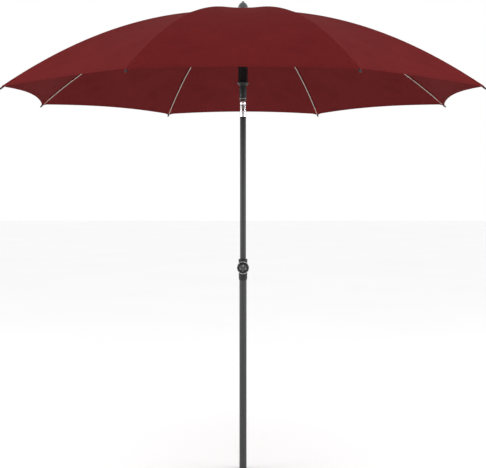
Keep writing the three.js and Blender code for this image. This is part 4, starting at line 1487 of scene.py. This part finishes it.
@dataclass
class Clamp:
    """The clamp that holds the pole's height: collar with a boss, bright ring, lobed knob and dished cap."""

    collar: float = 18
    lip: float = 18.75
    boss: float = 12.2
    bezel: float = 26.4
    knob: float = 23.6
    lobes: int = 12
    lobe_depth: float = 1.1
    bowl: float = 10.6
    screw_hole: float = 4.1
    bottom: float = field(default_factory=lambda: low("clamp_collar").z)
    top: float = field(default_factory=lambda: high("clamp_collar").z)
    screw: float = field(default_factory=lambda: (low("clamp_knob").z + high("clamp_knob").z) / 2)
    ring_at: float = field(default_factory=lambda: -high("knob_bezel").y)
    knob_at: float = field(default_factory=lambda: -high("clamp_knob").y)

    def on_screw(self) -> Matrix:
        """Carries an axis to the clamp's screw, pointing outwards."""
        return Matrix.Translation((0, 0, self.screw)) @ Matrix.Rotation(math.pi / 2, 4, "X")

    def collar_shape(self) -> Shape:
        """Builds the collar: tapered tail, body with two grooves, dark lip, and the screw's boss.

        Returns:
            The collar.
        """
        b, t, r, lip = self.bottom, self.top, self.collar, self.lip
        outline = [(15.3, b), (16.0, b), (16.3, b + 0.6), (r - 0.2, b + 10.5), (r, b + 12), (r, b + 17)]
        outline += [(r - 0.5, b + 17.5), (r - 0.5, b + 18.5), (r, b + 19), (r, t - 13), (r - 0.6, t - 12.6)]
        outline += [(r - 0.6, t - 11.6), (lip, t - 11), (lip, t - 1.6), (lip - 1.6, t), (12.9, t)]
        outline += [(12.9, t - 12.7), (15.3, t - 12.7)]
        bore, out, end, hole = self.boss - 2, self.boss, self.ring_at - 0.8, self.screw_hole
        shape = Shape().turned(rounded(outline, 0.5), steps=72)
        shape.cut(Shape().turned([(0, 8), (bore, 8), (bore, 30), (0, 30)], self.on_screw(), steps=48))
        boss = [(hole, 15.4), (out - 1, 15.4), (out, 17), (out, end - 1.2), (out - 1, end), (hole, end)]
        return shape.absorb(Shape().turned(rounded(boss, 0.5), self.on_screw(), steps=48))

    def ring(self) -> Shape:
        """Builds the bright ring behind the knob, dished round its edge.

        Returns:
            The ring.
        """
        a, r, hole = self.ring_at, self.bezel, self.screw_hole
        outline = [(hole, a), (r - 3, a), (r - 0.6, a + 1), (r, a + 1.8), (r, a + 2.8), (r - 0.7, a + 3.5)]
        outline += [(r - 2.4, a + 3.1), (hole, a + 3.1)]
        return Shape().turned(rounded(outline, 0.35), self.on_screw(), steps=96)

    def knob_shape(self) -> Shape:
        """Builds the knob: a lobed grip round a dish.

        Returns:
            The knob.
        """
        a, r = self.knob_at, self.knob
        outline = [(4, a), (r - 1.2, a), (r - 0.2, a + 0.8), (r, a + 2), (r, a + 8.6), (r - 0.6, a + 10.8)]
        outline += [(r - 2, a + 12.4), (r - 4, a + 13), (17.2, a + 13), (16.3, a + 12.6), (16, a + 11.8)]
        outline += [(16, a + 10), (4, a + 10)]

        def lobed(angle: float, radius: float, along: float) -> float:
            """Draws the grip in between its lobes.

            Args:
                angle: The angle round the screw.
                radius: The radius without lobes.
                along: The distance along the screw.

            Returns:
                The radius with lobes.
            """
            if radius < r - 3:
                return radius
            return radius - self.lobe_depth * (0.5 - 0.5 * math.cos(angle * self.lobes)) ** 2

        return Shape().turned(outline, self.on_screw(), steps=144, reach=lobed)

    def cap(self) -> Shape:
        """Builds the plain cap in the knob's dish: a raised rim round a shallow bowl with a low button.

        Returns:
            The cap.
        """
        a, bowl = self.knob_at + 10.3, self.bowl
        outline = [(0, a), (15.7, a), (15.7, a + 1.6), (15.2, a + 2.4), (14.2, a + 2.6), (13.2, a + 2.2)]
        outline += [(12.3, a + 1.2), (11.4, a + 0.5), (bowl, a + 0.5)]
        outline += [(r, a + 0.5 + 2.1 * (1 - (r / bowl) ** 2)) for r in (9.5, 8, 6.5, 5, 3.5, 2, 1)]
        return Shape().turned(outline + [(0, a + 2.6)], self.on_screw(), steps=96)

    def build(self) -> None:
        """Makes and mounts the clamp."""
        collar = self.collar_shape().piece("collar_body", [COLLAR_PLASTIC])
        mount(collar, "lower_pole", "black_plastic", "clamp_collar")
        mount(self.ring().piece("bright_ring", [SILVER]), "clamp_knob", "silver_plastic", "knob_bezel")
        mount(self.knob_shape().piece("knob_grip", [KNOB_PLASTIC]), "clamp_knob", "black_plastic", "clamp_knob")
        mount(self.cap().piece("knob_dish", [CAP_LACQUER], crisp=50), "clamp_knob", "black_plastic", "knob_cap")


def dress_frame_nodes() -> None:
    """Gives the frame nodes that stay in view, or inside others, their finishes."""
    finishes = {
        "clamp_nut": ZINC,
        "clamp_pad": ZINC,
        "clamp_screw": ZINC,
        "guide_bush": COLLAR_PLASTIC,
        "runner_catch": ZINC,
    }
    for name, finish in finishes.items():
        for holder in frame["nodes"][name].material_slots:
            holder.material = finish.material()
        log.info("%s keeps its frame shape", name)


# ---- Studio -----------------------------------------------------------------------------------------
@dataclass
class Studio:
    """A pale floor, soft lights and the camera, in metres."""

    camera_distance: float = 4.2
    camera_height: float = 1.15
    lens: float = 73.9
    sensor: float = 36
    shift: float = -0.0802
    floor_reach: float = 40
    floor_colour: str = "#fbfbfb"
    floor_clouds: str = "#f6f6f6"
    floor_roughness: float = 0.9
    cloud_size: float = 1667     # in millimetres
    sides: tuple[float, float, float] = (3.6, -0.9, 1.6)
    side_size: float = 1.8
    side_power: float = 62
    key: tuple[float, float, float] = (0.25, -3.7, 2.75)
    key_size: float = 0.35
    key_power: float = 12

    def lamp(self, name: str, size: float, power: float, at: Sequence[float], to: Sequence[float]) -> None:
        """Hangs one square soft light.

        Args:
            name: The light's name.
            size: The length of its side.
            power: Its power in watts.
            at: Where it hangs.
            to: Where it points.
        """
        light = bpy.data.lights.new(name, "AREA")
        light.shape, light.size, light.energy = "SQUARE", size, power
        made = bpy.data.objects.new(name, light)
        made.location = at
        made.rotation_euler = (Vector(to) - Vector(at)).to_track_quat("-Z", "Y").to_euler()
        bpy.context.scene.collection.objects.link(made)

    def floor(self) -> None:
        """Lays the pale floor."""
        reach = self.floor_reach
        corners = [(-reach, -reach, 0), (reach, -reach, 0), (reach, reach, 0), (-reach, reach, 0)]
        mesh = bpy.data.meshes.new("floor")
        mesh.from_pydata(corners, [], [(0, 1, 2, 3)])
        paper = bpy.data.materials.new("studio_floor")
        paper.use_nodes = True
        tree = paper.node_tree
        shader = tree.nodes["Principled BSDF"]
        shader.inputs["Roughness"].default_value = self.floor_roughness
        clouds = grained(tree, add(tree, "TexCoord", output="Object"), (self.cloud_size,) * 3, rough=0.5)
        tone = add(tree, "Mix", {0: clouds, 6: self.floor_clouds, 7: self.floor_colour}, 2, data_type="RGBA")
        tree.links.new(tone, shader.inputs["Base Color"])
        mesh.materials.append(paper)
        place_piece("floor", mesh)

    def camera(self) -> None:
        """Sets up the camera, level and in front of the parasol."""
        scene = bpy.context.scene
        camera = bpy.data.objects.new("camera", bpy.data.cameras.new("camera"))
        camera.data.lens = self.lens
        camera.data.sensor_width = self.sensor
        camera.data.shift_y = self.shift
        camera.location = (0, -self.camera_distance, self.camera_height)
        camera.rotation_euler = (math.pi / 2, 0, 0)
        scene.collection.objects.link(camera)
        scene.camera = camera

    def build(self) -> None:
        """Sets up floor, world, lights and camera."""
        scene = bpy.context.scene
        scene.view_settings.view_transform = "Standard"
        world = bpy.data.worlds.new("studio")
        world.use_nodes = True
        background = world.node_tree.nodes["Background"]
        background.inputs[0].default_value = linear("#ffffff")
        background.inputs[1].default_value = 1.0
        scene.world = world
        self.floor()
        x, y, z = self.sides
        self.lamp("left_light", self.side_size, self.side_power, (-x, y, z), (0, 0, z))
        self.lamp("right_light", self.side_size, self.side_power, (x, y, z), (0, 0, z))
        self.lamp("key_light", self.key_size, self.key_power, self.key, (0, 0, 1))
        self.camera()


def main() -> None:
    """Builds the parasol from the canopy down, then the studio."""
    logging.basicConfig(level=logging.INFO, format="%(name)s: %(message)s")
    canopy = Canopy()
    linkage = Linkage(canopy)
    for part in (canopy, linkage, Head(linkage), Tubes(), Knuckle(), Clamp()):
        part.build()
    dress_frame_nodes()
    Studio().build()


if __name__ == "__main__":
    main()
